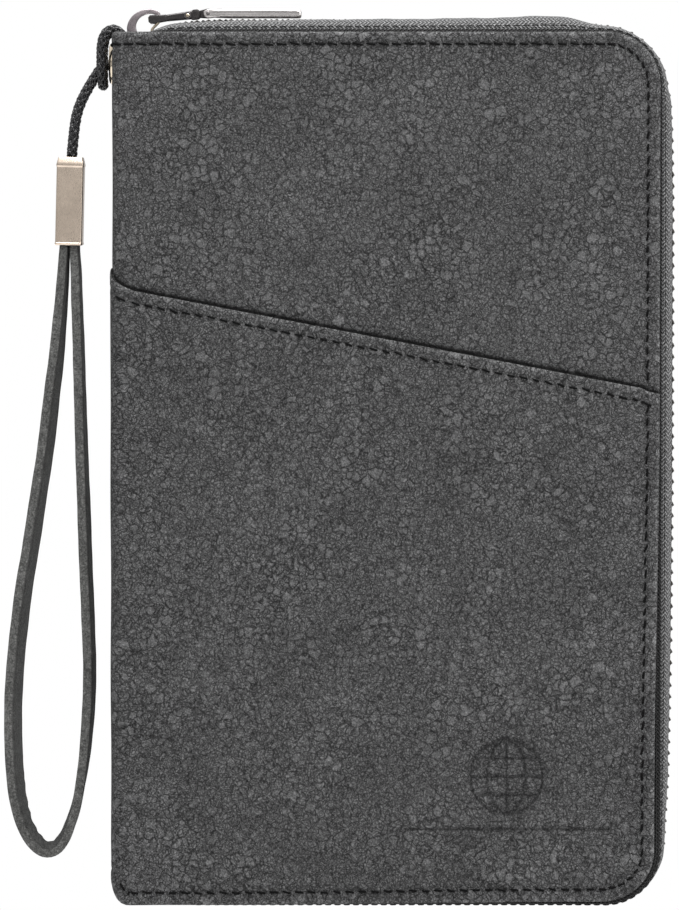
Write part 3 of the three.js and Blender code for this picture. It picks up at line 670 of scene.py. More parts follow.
def tubes(paths, radii, sides=6, flat=None, closed=False):
    """Several round tubes as one vertex and face list, each capped. paths: lists of (n, 3) in mm; radii: a number, or an array per path."""
    V, F, S = [], [], []
    base = 0
    for k, p in enumerate(paths):
        p = np.asarray(p, float)
        n = len(p)
        r = radii[k] if isinstance(radii, (list, tuple)) else radii
        r = np.broadcast_to(np.asarray(r, float), (n,))
        t = np.gradient(p, axis=0)
        t /= np.linalg.norm(t, axis=1)[:, None] + 1e-12
        ref = np.array([0, 0, 1.0]) if abs(t[0][2]) < 0.9 else np.array([1.0, 0, 0])
        a = np.cross(t[0], ref)
        a /= np.linalg.norm(a)
        A = [a]
        for i in range(1, n):
            a = A[-1] - t[i] * np.dot(A[-1], t[i])
            a /= np.linalg.norm(a) + 1e-12
            A.append(a)
        A = np.array(A)
        B = np.cross(t, A)
        ang = np.arange(sides) * 2 * math.pi / sides
        sa, sb = (1.0, 1.0) if flat is None else flat
        ring = p[:, None] + r[:, None, None] * (sa * np.cos(ang)[None, :, None] * A[:, None] + sb * np.sin(ang)[None, :, None] * B[:, None])
        V.append(ring.reshape(-1, 3))
        seg = np.concatenate([[0], np.cumsum(np.linalg.norm(np.diff(p, axis=0), axis=1))])
        S.append(np.stack([np.repeat(seg, sides), np.tile(ang * r.mean(), n), np.full(n * sides, k * 3.7)], 1))
        for i in range(n - 1):
            for j in range(sides):
                q = (j + 1) % sides
                F.append((base + i * sides + j, base + i * sides + q, base + (i + 1) * sides + q, base + (i + 1) * sides + j))
        F.append(tuple(base + j for j in range(sides))[::-1])
        F.append(tuple(base + (n - 1) * sides + j for j in range(sides)))
        base += n * sides
    return np.vstack(V), F, np.vstack(S)


def spline(pts, step, closed=False):
    """Catmull-Rom through the points, cut to about `step` mm. Works in any dimension."""
    P = np.asarray(pts, float)
    Q = np.vstack([2 * P[0] - P[1], P, 2 * P[-1] - P[-2]])
    out = []
    for i in range(1, len(Q) - 2):
        n = max(2, int(round(np.linalg.norm(Q[i + 1][:3] - Q[i][:3]) / step)))
        t = (np.arange(n) / n)[:, None]
        a, b, c, d = Q[i - 1], Q[i], Q[i + 1], Q[i + 2]
        out.append(0.5 * ((2 * b) + (c - a) * t + (2 * a - 5 * b + 4 * c - d) * t ** 2 + (3 * b - a - 3 * c + d) * t ** 3))
    out.append(Q[-2][None])
    return np.vstack(out)


def prism(name, pts, y0, y1, mat, bevel=0.15, segments=3, axis="y", place=None, holes=()):
    """A flat outline given thickness along an axis, its rims rounded."""
    import bmesh

    bm = bmesh.new()
    loops = [list(pts)] + [list(h) for h in holes]
    flat, spans = [], []
    for lp in loops:
        spans.append((len(flat), len(flat) + len(lp)))
        flat += [Vector((float(a), float(b))) for a, b in lp]
    edges = []
    for a, b in spans:
        edges += [(i, i + 1 if i + 1 < b else a) for i in range(a, b)]
    if holes:
        ov, _, of, src, _, _ = delaunay_2d_cdt(flat, edges, [], 2, 1e-6)
        cen = np.array([[sum(ov[i][k] for i in f) / len(f) for k in (0, 1)] for f in of])
        ok = inside(np.array(loops[0], float), cen)
        for h in holes:
            ok &= ~inside(np.array(h, float), cen)
        faces = [f for f, k in zip(of, ok) if k]
        flat = list(ov)
    else:
        faces = [list(range(len(flat)))]
    vs = [bm.verts.new((v[0] * MM, y0 * MM, v[1] * MM)) for v in flat]
    fs = [bm.faces.new([vs[i] for i in f]) for f in faces]
    ext = bmesh.ops.extrude_face_region(bm, geom=fs)
    moved = [g for g in ext["geom"] if isinstance(g, bmesh.types.BMVert)]
    bmesh.ops.translate(bm, verts=moved, vec=(0, (y1 - y0) * MM, 0))
    bmesh.ops.recalc_face_normals(bm, faces=bm.faces[:])
    if bevel:
        rim = [e for e in bm.edges if len(e.link_faces) == 2 and e.calc_face_angle(0) > math.radians(60) and abs(e.verts[0].co.y - e.verts[1].co.y) < 1e-9]
        bmesh.ops.bevel(bm, geom=rim, offset=bevel * MM, segments=segments, profile=0.5, affect="EDGES", clamp_overlap=True)
    me = bpy.data.meshes.new(name)
    bm.to_mesh(me)
    bm.free()
    if axis == "x":      # outline was (y, z), thickness along x
        for v in me.vertices:
            v.co = Vector((v.co.y, v.co.x, v.co.z))
        me.flip_normals()
    if axis == "z":      # outline was (x, y), thickness along z
        for v in me.vertices:
            v.co = Vector((v.co.x, v.co.z, v.co.y))
        me.flip_normals()
    if place is not None:
        for v in me.vertices:
            v.co = Vector(place(*(v.co / MM))) * MM
    me.polygons.foreach_set("use_smooth", [True] * len(me.polygons))
    me.set_sharp_from_angle(angle=math.radians(50))
    me.materials.append(mat)
    me.update()
    o = bpy.data.objects.new(name, me)
    scene.collection.objects.link(o)
    return o


def bar(name, pts, y0, y1, mat, bevel, place=None, segs=5):
    """A slim bar across Y whose long rims are rounded over; the outline may have short corner segments."""
    P = np.array(pts, float)
    c = (P.max(0) + P.min(0)) / 2
    hw = (P.max(0) - P.min(0)) / 2
    ks = [math.pi / 2 * (1 - k_ / segs) for k_ in range(segs + 1)]
    rings = [(y0 + bevel * (1 - math.sin(a)), bevel * (1 - math.cos(a))) for a in ks] + [(y1 - bevel * (1 - math.sin(a)), bevel * (1 - math.cos(a))) for a in ks[::-1]]
    V, F, n_ = [], [], len(P)
    for y, inset in rings:
        Q = c + (P - c) * (1 - inset / hw)
        for a, b in Q:
            x, z = place((a, b)) if place else (a, b)
            V.append((x, y, z))
    for k_ in range(len(rings) - 1):
        for i in range(n_):
            j = (i + 1) % n_
            F.append((k_ * n_ + i, k_ * n_ + j, (k_ + 1) * n_ + j, (k_ + 1) * n_ + i))
    F.append(tuple(range(n_))[::-1])
    F.append(tuple((len(rings) - 1) * n_ + i for i in range(n_)))
    return mesh_object(name, V, F, mat, sharp=34)


def join(name, objs):
    """Several meshes as one object, in pure mesh data."""
    import bmesh

    bm = bmesh.new()
    for o in objs:
        bm.from_mesh(o.data)
    me = bpy.data.meshes.new(name)
    bm.to_mesh(me)
    bm.free()
    for m in objs[0].data.materials:
        me.materials.append(m)
    for o in objs:
        bpy.data.objects.remove(o, do_unlink=True)
    o = bpy.data.objects.new(name, me)
    scene.collection.objects.link(o)
    return o


def lathe(name, profile, mat, place, n=72):
    """A ring: profile points (radius, height) turned about an axis; closed on itself."""
    prof = np.asarray(profile, float)
    k = len(prof)
    V, F = [], []
    for i in range(n):
        a = 2 * math.pi * i / n
        V += [place(r * math.cos(a), r * math.sin(a), h) for r, h in prof]
        for j in range(k):
            q, nx = (j + 1) % k, ((i + 1) % n) * k
            F.append((i * k + j, i * k + q, nx + q, nx + j))
    return mesh_object(name, V, F, mat, sharp=45)


# ================================================================ the braided cord, hitched through the eyelet
half = [(-76.1, 0, 174.2, 1.34), (-75.9, 0, 177.2, 1.34), (-75.65, 0, 179.8, 1.34), (-75.4, 0, 182.2, 1.34), (-75.1, 0, 184.6, 1.34), (-74.6, 0, 187.0, 1.35),
        (-73.8, 0, 189.3, 1.37), (-72.7, 0, 191.6, 1.42), (-71.5, 0, 193.7, 1.42), (-70.35, 0, 195.5, 1.38), (-69.4, 0, 196.9, 1.34), (-68.1, 0, 198.0, 1.30),
        (-66.6, 0, 198.5, 1.28), (-65.1, 0, 199.0, 1.45), (-63.9, 0, 200.6, 2.4), (-63.5, 0, 202.7, 3.6), (-63.9, 0, 204.8, 4.6), (-64.8, 0, 206.2, 5.0),
        (-66.1, 0, 206.6, 5.1), (-67.3, 0, 206.0, 5.05), (-68.2, 0, 204.6, 4.95), (-68.6, 0, 202.4, 4.75), (-68.7, 0, 199.8, 4.5), (-68.65, 0, 197.2, 4.05),
        (-68.6, 0, 195.2, 3.1), (-68.5, 0, 193.9, 1.8), (-68.45, 0, 193.45, 0.0)]
left = [(x, -y, z) for x, _, z, y in half]
right_ = [(x, y, z) for x, _, z, y in half[:-1]][::-1]
cord_path = spline(left + right_, 0.3)
CORD_R = 1.3


def braid(path, R, r, amp, w, n=4, sides=6):
    P = np.asarray(path)
    t = np.gradient(P, axis=0)
    t /= np.linalg.norm(t, axis=1)[:, None]
    a = np.cross(t[0], [0, 1.0, 0])
    a /= np.linalg.norm(a)
    A = [a]
    for i in range(1, len(P)):
        a = A[-1] - t[i] * np.dot(A[-1], t[i])
        A.append(a / np.linalg.norm(a))
    A = np.array(A)
    B = np.cross(t, A)
    s = np.concatenate([[0], np.cumsum(np.linalg.norm(np.diff(P, axis=0), axis=1))])
    out = []
    for sgn in (1, -1):
        for k in range(n):
            th = sgn * w * s + 2 * math.pi * k / n + (0 if sgn > 0 else math.pi / n)
            rr = R + sgn * amp * np.cos(n * w * s - math.pi / 2)
            out.append(P + rr[:, None] * (np.cos(th)[:, None] * A + np.sin(th)[:, None] * B))
    return out


strands = braid(cord_path, 0.83, 0.37, 0.10, 0.80)
V1, F1, S1 = tubes(strands, 0.37, 6)
V2, F2, S2 = tubes([cord_path], 0.80, 8)
F2 = [tuple(i + len(V1) for i in f) for f in F2]
cord = mesh_object("cord_braid", np.vstack([V1, V2]), F1 + F2, M_CORD, np.vstack([S1, S2]))

# ================================================================ wrist strap
LEGS = [(-77.35, 166, 2.0), (-77.45, 160, 2.0), (-77.65, 154.8, 2.0), (-78.1, 148, 2.2), (-78.7, 140, 2.3), (-79.6, 130, 2.3), (-80.7, 121, 2.3), (-81.9, 110.5, 2.3),
        (-83.2, 101.5, 2.3), (-84.6, 92.5, 2.3), (-86.0, 83.5, 2.3), (-87.5, 74.5, 2.3), (-88.8, 64.5, 2.3), (-89.8, 54, 2.3), (-90.3, 44, 2.3), (-90.1, 34, 2.3),
        (-89.6, 26.5, 2.3), (-88.6, 20.8, 2.3), (-87.2, 16.6, 2.2), (-85.3, 13.4, 2.2), (-82.7, 11.4, 2.2), (-80.1, 11.8, 2.2), (-78.1, 14.2, 2.2), (-76.6, 17.8, 2.3),
        (-75.1, 22.6, 2.3), (-74.0, 28.6, 2.3),
        (-73.0, 36, 2.3), (-72.2, 46, 2.3), (-72.0, 56, 2.3), (-72.3, 66, 2.3), (-72.7, 76, 2.3), (-73.1, 88, 2.3), (-73.5, 100, 2.3), (-73.9, 112, 2.3),
        (-74.2, 124, 2.3), (-74.5, 134, 2.3), (-74.75, 142, 2.3), (-74.95, 149, 2.2), (-75.25, 154.8, 2.0), (-75.2, 160, 2.0), (-75.05, 166, 2.0)]
sp = spline([(x, z, t) for x, z, t in LEGS], 0.7)
C = np.stack([sp[:, 0], np.zeros(len(sp)), sp[:, 1]], 1)
T = np.gradient(C, axis=0)
T /= np.linalg.norm(T, axis=1)[:, None]
arc_s = np.concatenate([[0], np.cumsum(np.linalg.norm(np.diff(C, axis=0), axis=1))])
STRAP_LEN = arc_s[-1]
u01 = arc_s / STRAP_LEN
i_bottom = int(np.argmin(C[:, 2]))
s_bot = arc_s[i_bottom]
# twist in degrees: the left leg shows its inner face, the right leg a little of its outer
tw = np.interp(arc_s, [0, 14, 45, 110, s_bot - 22, s_bot - 6, s_bot + 8, s_bot + 30, s_bot + 80, STRAP_LEN - 14, STRAP_LEN], [-2, -4, -15, -18, -18, -14, -6, 7, 8, 3, 2])
k = np.ones(25) / 25
tw = np.radians(np.convolve(np.pad(tw, 12, mode="edge"), k, "valid"))
# section: rounded flat strap with a slightly raised, turned edge each side, its two layers meeting in a groove on the narrow sides
sec = []
W2, nb = 3.5, 56
for q in range(nb):
    a = 2 * math.pi * q / nb
    ca, sa = math.cos(a), math.sin(a)
    sec.append((math.copysign(abs(sa) ** 0.36, sa), math.copysign(abs(ca) ** 0.36, ca)))
sec = np.array(sec)
V, F, G, rim_highlight_paint, shade_paint = [], [], [], [], []
ns = len(sec)
for i in range(len(C)):
    n_ = np.cross(T[i], [0, 1.0, 0])
    n_ /= np.linalg.norm(n_)
    b_ = np.array([0, 1.0, 0])
    c_, s_ = math.cos(tw[i]), math.sin(tw[i])
    nn, bb = n_ * c_ + b_ * s_, b_ * c_ - n_ * s_
    th = sp[i, 2] / 2
    s0 = arc_s[i]
    for j, (a, b) in enumerate(sec):
        ridge = 0.16 * math.exp(-((abs(b) - 0.95) / 0.05) ** 2) * (abs(a) > 0.5)
        dip = -0.12 * math.exp(-((abs(b) - 0.74) / 0.10) ** 2) * (abs(a) > 0.5)
        groove = -0.14 * math.exp(-(a / 0.20) ** 2) * (abs(b) > 0.8)
        wave = 0.05 * math.sin(s0 * 0.31 + 2.2 * b) + 0.035 * math.sin(s0 * 0.83 + 4.0 * b + 1.0)
        near = math.exp(-(((s0 - s_bot + 7) / 11.0) ** 2))
        crease = 0.15 * near * math.sin(s0 * 1.75 + 0.5 * b + 0.7 * math.sin(s0 * 0.9)) if a > 0.3 else 0.0
        aa = a * (th + ridge + dip + wave * 0.6) + crease
        wscale = 0.86 if s0 < 12 or s0 > STRAP_LEN - 12 else 1.0
        b2 = b * (W2 * (wscale if wscale == 1.0 else 0.98) + groove + 0.05 * math.sin(s0 * 0.5 + a))
        V.append(C[i] + nn * aa + bb * b2)
        G.append((s0, a * th, b2))
        # painted highlight: a bright line along each rim of the strap, passed as its wear; painted shade: the broad
        # faces darkened, passed as its crease
        rim_highlight_paint.append(math.exp(-((abs(b) - 0.985) / 0.03) ** 2) * (3.0 if abs(a) > 0.75 else 0.6))
        shade_paint.append(0.45 if (abs(a) > 0.8 and abs(b) < 0.93) else 0.0)
    if i:
        for j in range(ns):
            q = (j + 1) % ns
            F.append(((i - 1) * ns + j, (i - 1) * ns + q, i * ns + q, i * ns + j))
F.append(tuple(range(ns))[::-1])
F.append(tuple((len(C) - 1) * ns + j for j in range(ns)))
strap = mesh_object("strap_loop", V, F, M_STRAP, G, rim_highlight_paint, crease=shade_paint)

# ================================================================ sleeve that clamps the strap ends on the cord
SL = dict(x=-76.35, z=166.05, w=6.5, d=9.0, h=20.9, wall=0.7, tilt=math.radians(1.4))


def rrect(hw, hd, r, n=10):
    pts = []
    for cx, cy, a0 in ((hw - r, hd - r, 0), (-hw + r, hd - r, 90), (-hw + r, -hd + r, 180), (hw - r, -hd + r, 270)):
        for i in range(n + 1):
            a = math.radians(a0 + 90 * i / n)
            pts.append((cx + r * math.cos(a), cy + r * math.sin(a)))
    return pts


def loft_ring(name, levels, mat, place, sharp=35):
    """A tube open through the middle: levels are (z, half width, half depth, corner radius), up the outside and down the inside."""
    V, F = [], []
    m = None
    for z, hw, hd, r in levels:
        ring = rrect(hw, hd, r)
        m = len(ring)
        V += [place(x, y, z) for x, y in ring]
    L = len(levels)
    for i in range(L):
        for j in range(m):
            q, ni = (j + 1) % m, (i + 1) % L
            F.append((i * m + j, i * m + q, ni * m + q, ni * m + j))
    return mesh_object(name, V, F, mat, sharp=sharp)


def sleeve_place(x, y, z):
    c, s = math.cos(SL["tilt"]), math.sin(SL["tilt"])
    return (SL["x"] + x * c + z * s, y, SL["z"] + z * c - x * s)


hw, hd, hh = SL["w"] / 2, SL["d"] / 2, SL["h"] / 2


def lv(z, off, r=0.55):
    return (z, hw + off, hd + off, max(0.3, r + off))


sleeve = loft_ring("sleeve", [lv(-hh, -0.42), lv(-hh + 0.05, -0.18), lv(-hh + 0.22, -0.02), lv(-hh + 0.42, 0.03), lv(-hh + 0.58, 0.02), lv(-hh + 0.68, -0.06),
                              lv(-hh + 0.78, -0.07), lv(-hh + 2.0, -0.07), lv(0, -0.07), lv(hh - 2.5, -0.07), lv(hh - 2.25, -0.05), lv(hh - 2.1, 0.02), lv(hh - 1.95, 0.06),
                              lv(hh - 1.0, -0.16), lv(hh - 0.25, -0.36), lv(hh - 0.06, -0.44), lv(hh, -0.52), lv(hh - 0.2, -0.66), lv(hh - 1.0, -0.70),
                              lv(-hh + 1.0, -0.70), lv(-hh + 0.25, -0.62)], M_SLEEVE, sleeve_place)
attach(sleeve, "wrist_strap")
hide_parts("strap_sleeve")
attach(strap, "wrist_strap")
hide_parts("strap_band")
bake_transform(cord)
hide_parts("strap_cord", "cord_hitch")

# eyelet in the spine: a rolled flange outside, a barrel through the leather and a washer inside
EX = SPINE_X - 0.05


def eye_place(a, b, h):
    return (EX - h, a, EYELET_Z + b)


eyelet = lathe("eyelet_flange", [(2.62, -1.85), (2.62, 0.20), (2.72, 0.55), (2.98, 0.82), (3.45, 0.96), (4.05, 0.94), (4.55, 0.76), (4.88, 0.42), (5.0, 0.02),
                                 (4.85, -0.03), (3.4, -0.03), (3.1, -0.05), (3.1, -1.85)], M_EYELET, eye_place)
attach(eyelet, "spine")
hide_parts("eyelet")
washer = lathe("eyelet_inner_washer", [(3.2, -1.62), (3.5, -1.56), (4.3, -1.56), (4.55, -1.64), (4.6, -1.80), (4.5, -1.95), (4.2, -2.03), (3.5, -2.02), (3.25, -1.94)],
               M_EYELET, lambda a, b, h: (SPINE_X - h, a, EYELET_Z + b))
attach(washer, "spine")
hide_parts("eyelet_washer")


# ================================================================ leather covers, slip pockets and linings
MOUTH = [(-75.3, 150.2), (-71.5, 150.1), (-69.2, 149.75), (-67.6, 149.0), (-66.2, 148.0), (-64.8, 147.0), (-63.4, 146.15), (-62.2, 145.6), (-60.9, 145.05)]


def mouth(u):
    u = np.asarray(u, float)
    z = 144.3 - (np.maximum(u, -60.9) + 57.1) * 0.1915
    z = z - 0.55 * smooth(58.6, 60.8, u)
    return np.where(u < -60.9, np.interp(u, [a for a, _ in MOUTH], [b for _, b in MOUTH]), z)


FOOT = [(-62.0, 0.0), (-63.0, 0.12), (-64.0, 0.6), (-65.0, 1.55), (-66.0, 2.9), (-67.0, 4.3), (-68.0, 5.2), (-69.2, 5.6), (U_MID, 5.7)]
TOPDIP = [(-66.3, HEIGHT), (-67.4, HEIGHT - 0.15), (-68.3, HEIGHT - 0.7), (-69.2, HEIGHT - 1.2), (-70.3, HEIGHT - 1.35), (U_MID, HEIGHT - 1.35)]
C0, C1 = EDGE_X - CORNER, HEIGHT - CORNER


def warp_edge(seq):
    """The free edge leans in a little towards the foot, and the bottom edge clears the ground."""
    out = []
    for u, z in seq:
        w = float(smooth(20.0, 55.0, u))
        u2 = u - 1.05 * float(smooth(118.0, 22.0, z)) * w
        lift = 0.25 + 0.75 * float(smooth(-40.0, 50.0, u))
        z2 = z + lift * max(0.0, 1 - max(z, 0) / 14.0) * float(smooth(-66.0, -60.0, u))
        out.append((u2, z2))
    return out


def main_outline(i=1.4):
    up = [(u, z + i) for u, z in FOOT[::-1]]
    notch = arc_pts(U_MID, EYELET_Z, 2.9, 90, -90, 10)
    return outline([
        ("under", up), ("under", [(x, i) for x in np.arange(-50, C0, 8.0)]), ("under", [(C0, i)]), ("under", arc_pts(C0, CORNER, CORNER - i, -90, 0, 14)), ("under", [(EDGE_X - i, z) for z in np.arange(16, 114, 7.0)]), ("under", [(EDGE_X - i, 115.5)]),
        ("roll", [(EDGE_X, 117.5)]), ("roll", [(EDGE_X, C1)]), ("roll", arc_pts(C0, C1, CORNER, 0, 90, 18)), ("roll", TOPDIP[:-1]),
        ("cut", [TOPDIP[-1]]), ("cut", notch), ("cut", [(U_MID, 5.7 + i)])])


def pocket_outline():
    us = np.concatenate([np.arange(EDGE_X, 57.5, -0.6), np.linspace(57.0, -60.5, 40), np.arange(-61.0, U_MID, -0.5)])
    top = [(float(u), float(mouth(u))) for u in us] + [(U_MID, float(mouth(U_MID)))]
    return outline([("roll", FOOT[::-1]), ("roll", [(x, 0.0) for x in np.arange(-55, C0, 8.0)]), ("roll", [(C0, 0.0)]), ("roll", arc_pts(C0, CORNER, CORNER, -90, 0, 18)),
                    ("roll", [(EDGE_X, z) for z in np.arange(16, 118, 6.0)]), ("roll", [(EDGE_X, top[0][1] - 0.01)]),
                    ("fold", top[:-1]), ("cut", [top[-1]]), ("cut", [(U_MID, 5.8)])])


def main_base(u, z):
    d = z - mouth(u)
    return -0.16 * smooth(1.0, 6.0, -d) - 0.30 * smooth(1.6, 0.2, np.abs(d - 0.1))


# painted shade: a dark line on the cover right above the pocket mouth, where the gap under the pocket's edge is in
# shade
def mouth_gap_shade(u, z):
    d = z - mouth(u)
    return np.where(d < 0.55, 1.0, np.exp(-((d - 0.55) / 0.35) ** 2) * 0.9) * (d < 2.0)


def pocket_base(u, z):
    return 1.0 - 0.4 * smooth(-63.5, -67.5, u)


# plain blind-tooled motif on the front pocket: a ring with curved bars and a rule below it
GX, GZ, GR = 27.1, 30.1, 8.6


def tooled(u, z):
    x, y = u - GX, z - GZ
    r = np.hypot(x, y)
    lines = [np.abs(r - GR)]
    insider = r < GR
    for k in (0.0, 0.52):
        if k == 0.0:
            lines.append(np.where(insider, np.abs(x), 9))
        else:
            e = np.hypot(x / k, y) - GR
            lines.append(np.where(r < GR + 0.6, np.abs(e) * k, 9))
    for yy in (-4.3, 0.0, 4.3):
        lines.append(np.where(insider, np.abs(y - yy * (1 + 0.0 * x)), 9))
    d = np.min(lines, axis=0)
    rule = np.where(np.abs(u - 27.1) < 24.5, np.abs(z - 17.8), 9)
    d = np.minimum(d, rule)
    return d


def tooled_relief(u, z):
    d = tooled(u, z)
    return -0.30 * np.exp(-(d / 0.33) ** 2) + 0.05 * np.exp(-((d - 0.85) / 0.3) ** 2)


def tooled_dark(u, z):
    return 0.62 * np.exp(-(tooled(u, z) / 0.40) ** 2)


def stitches(name, loop, tag, nrm, s_at, base, side, body, kinds, keep, mat=None, seam=SEAM, mapper=None, slantness=-0.13, radius=0.26, span=None, seed=3, lift=0.0):
    """One bead of thread for each stitch along the rolled or folded edges."""
    mapper = mapper or (lambda u, h, z: wrap(u, h, z, side))
    N = len(loop)
    total = s_at[-1] + np.linalg.norm(loop[0] - loop[-1])
    ss = np.append(s_at, total)
    px = np.append(loop[:, 0], loop[0, 0])
    pz = np.append(loop[:, 1], loop[0, 1])
    nx, nz = np.append(nrm[:, 0], nrm[0, 0]), np.append(nrm[:, 1], nrm[0, 1])
    r = np.random.RandomState(seed)
    paths = []
    t = np.array([-1.0, -0.93, -0.75, -0.4, 0.0, 0.4, 0.75, 0.93, 1.0])
    for kk in range(int(total / PITCH)):
        mid = (kk + 0.5) * PITCH
        idx = int(np.searchsorted(s_at, mid) - 1) % N
        if tag[idx] not in kinds or tag[int(np.searchsorted(s_at, (mid + 1.4) % total) - 1) % N] not in kinds:
            continue
        j = r.normal(0, 1, 4)
        # the thread shows longest along the top edge
        sp_ = span if span else (1.05 if nrm[idx, 1] < -0.8 and loop[idx, 1] > 200 else 0.86)
        s = mid + t * (sp_ + 0.06 * j[0])
        off = seam + slantness * (1 + 0.5 * j[1]) * t + 0.05 * j[2]
        u = np.interp(s, ss, px) + np.interp(s, ss, nx) * off
        z = np.interp(s, ss, pz) + np.interp(s, ss, nz) * off
        if not keep(float(u[4]), float(z[4])):
            continue
        h = base(u, z) + 0.20 + lift - 0.05 * t ** 2 - 0.30 * np.abs(t) ** 8
        paths.append(mapper(u, h, z))
    if not paths:
        return None
    rad = radius * np.array([0.55, 0.8, 0.95, 1.0, 1.0, 1.0, 0.95, 0.8, 0.55])
    V, F, S = tubes(paths, [rad] * len(paths), 7)
    return mesh_object(name, V, F, mat or M_SEW, S)


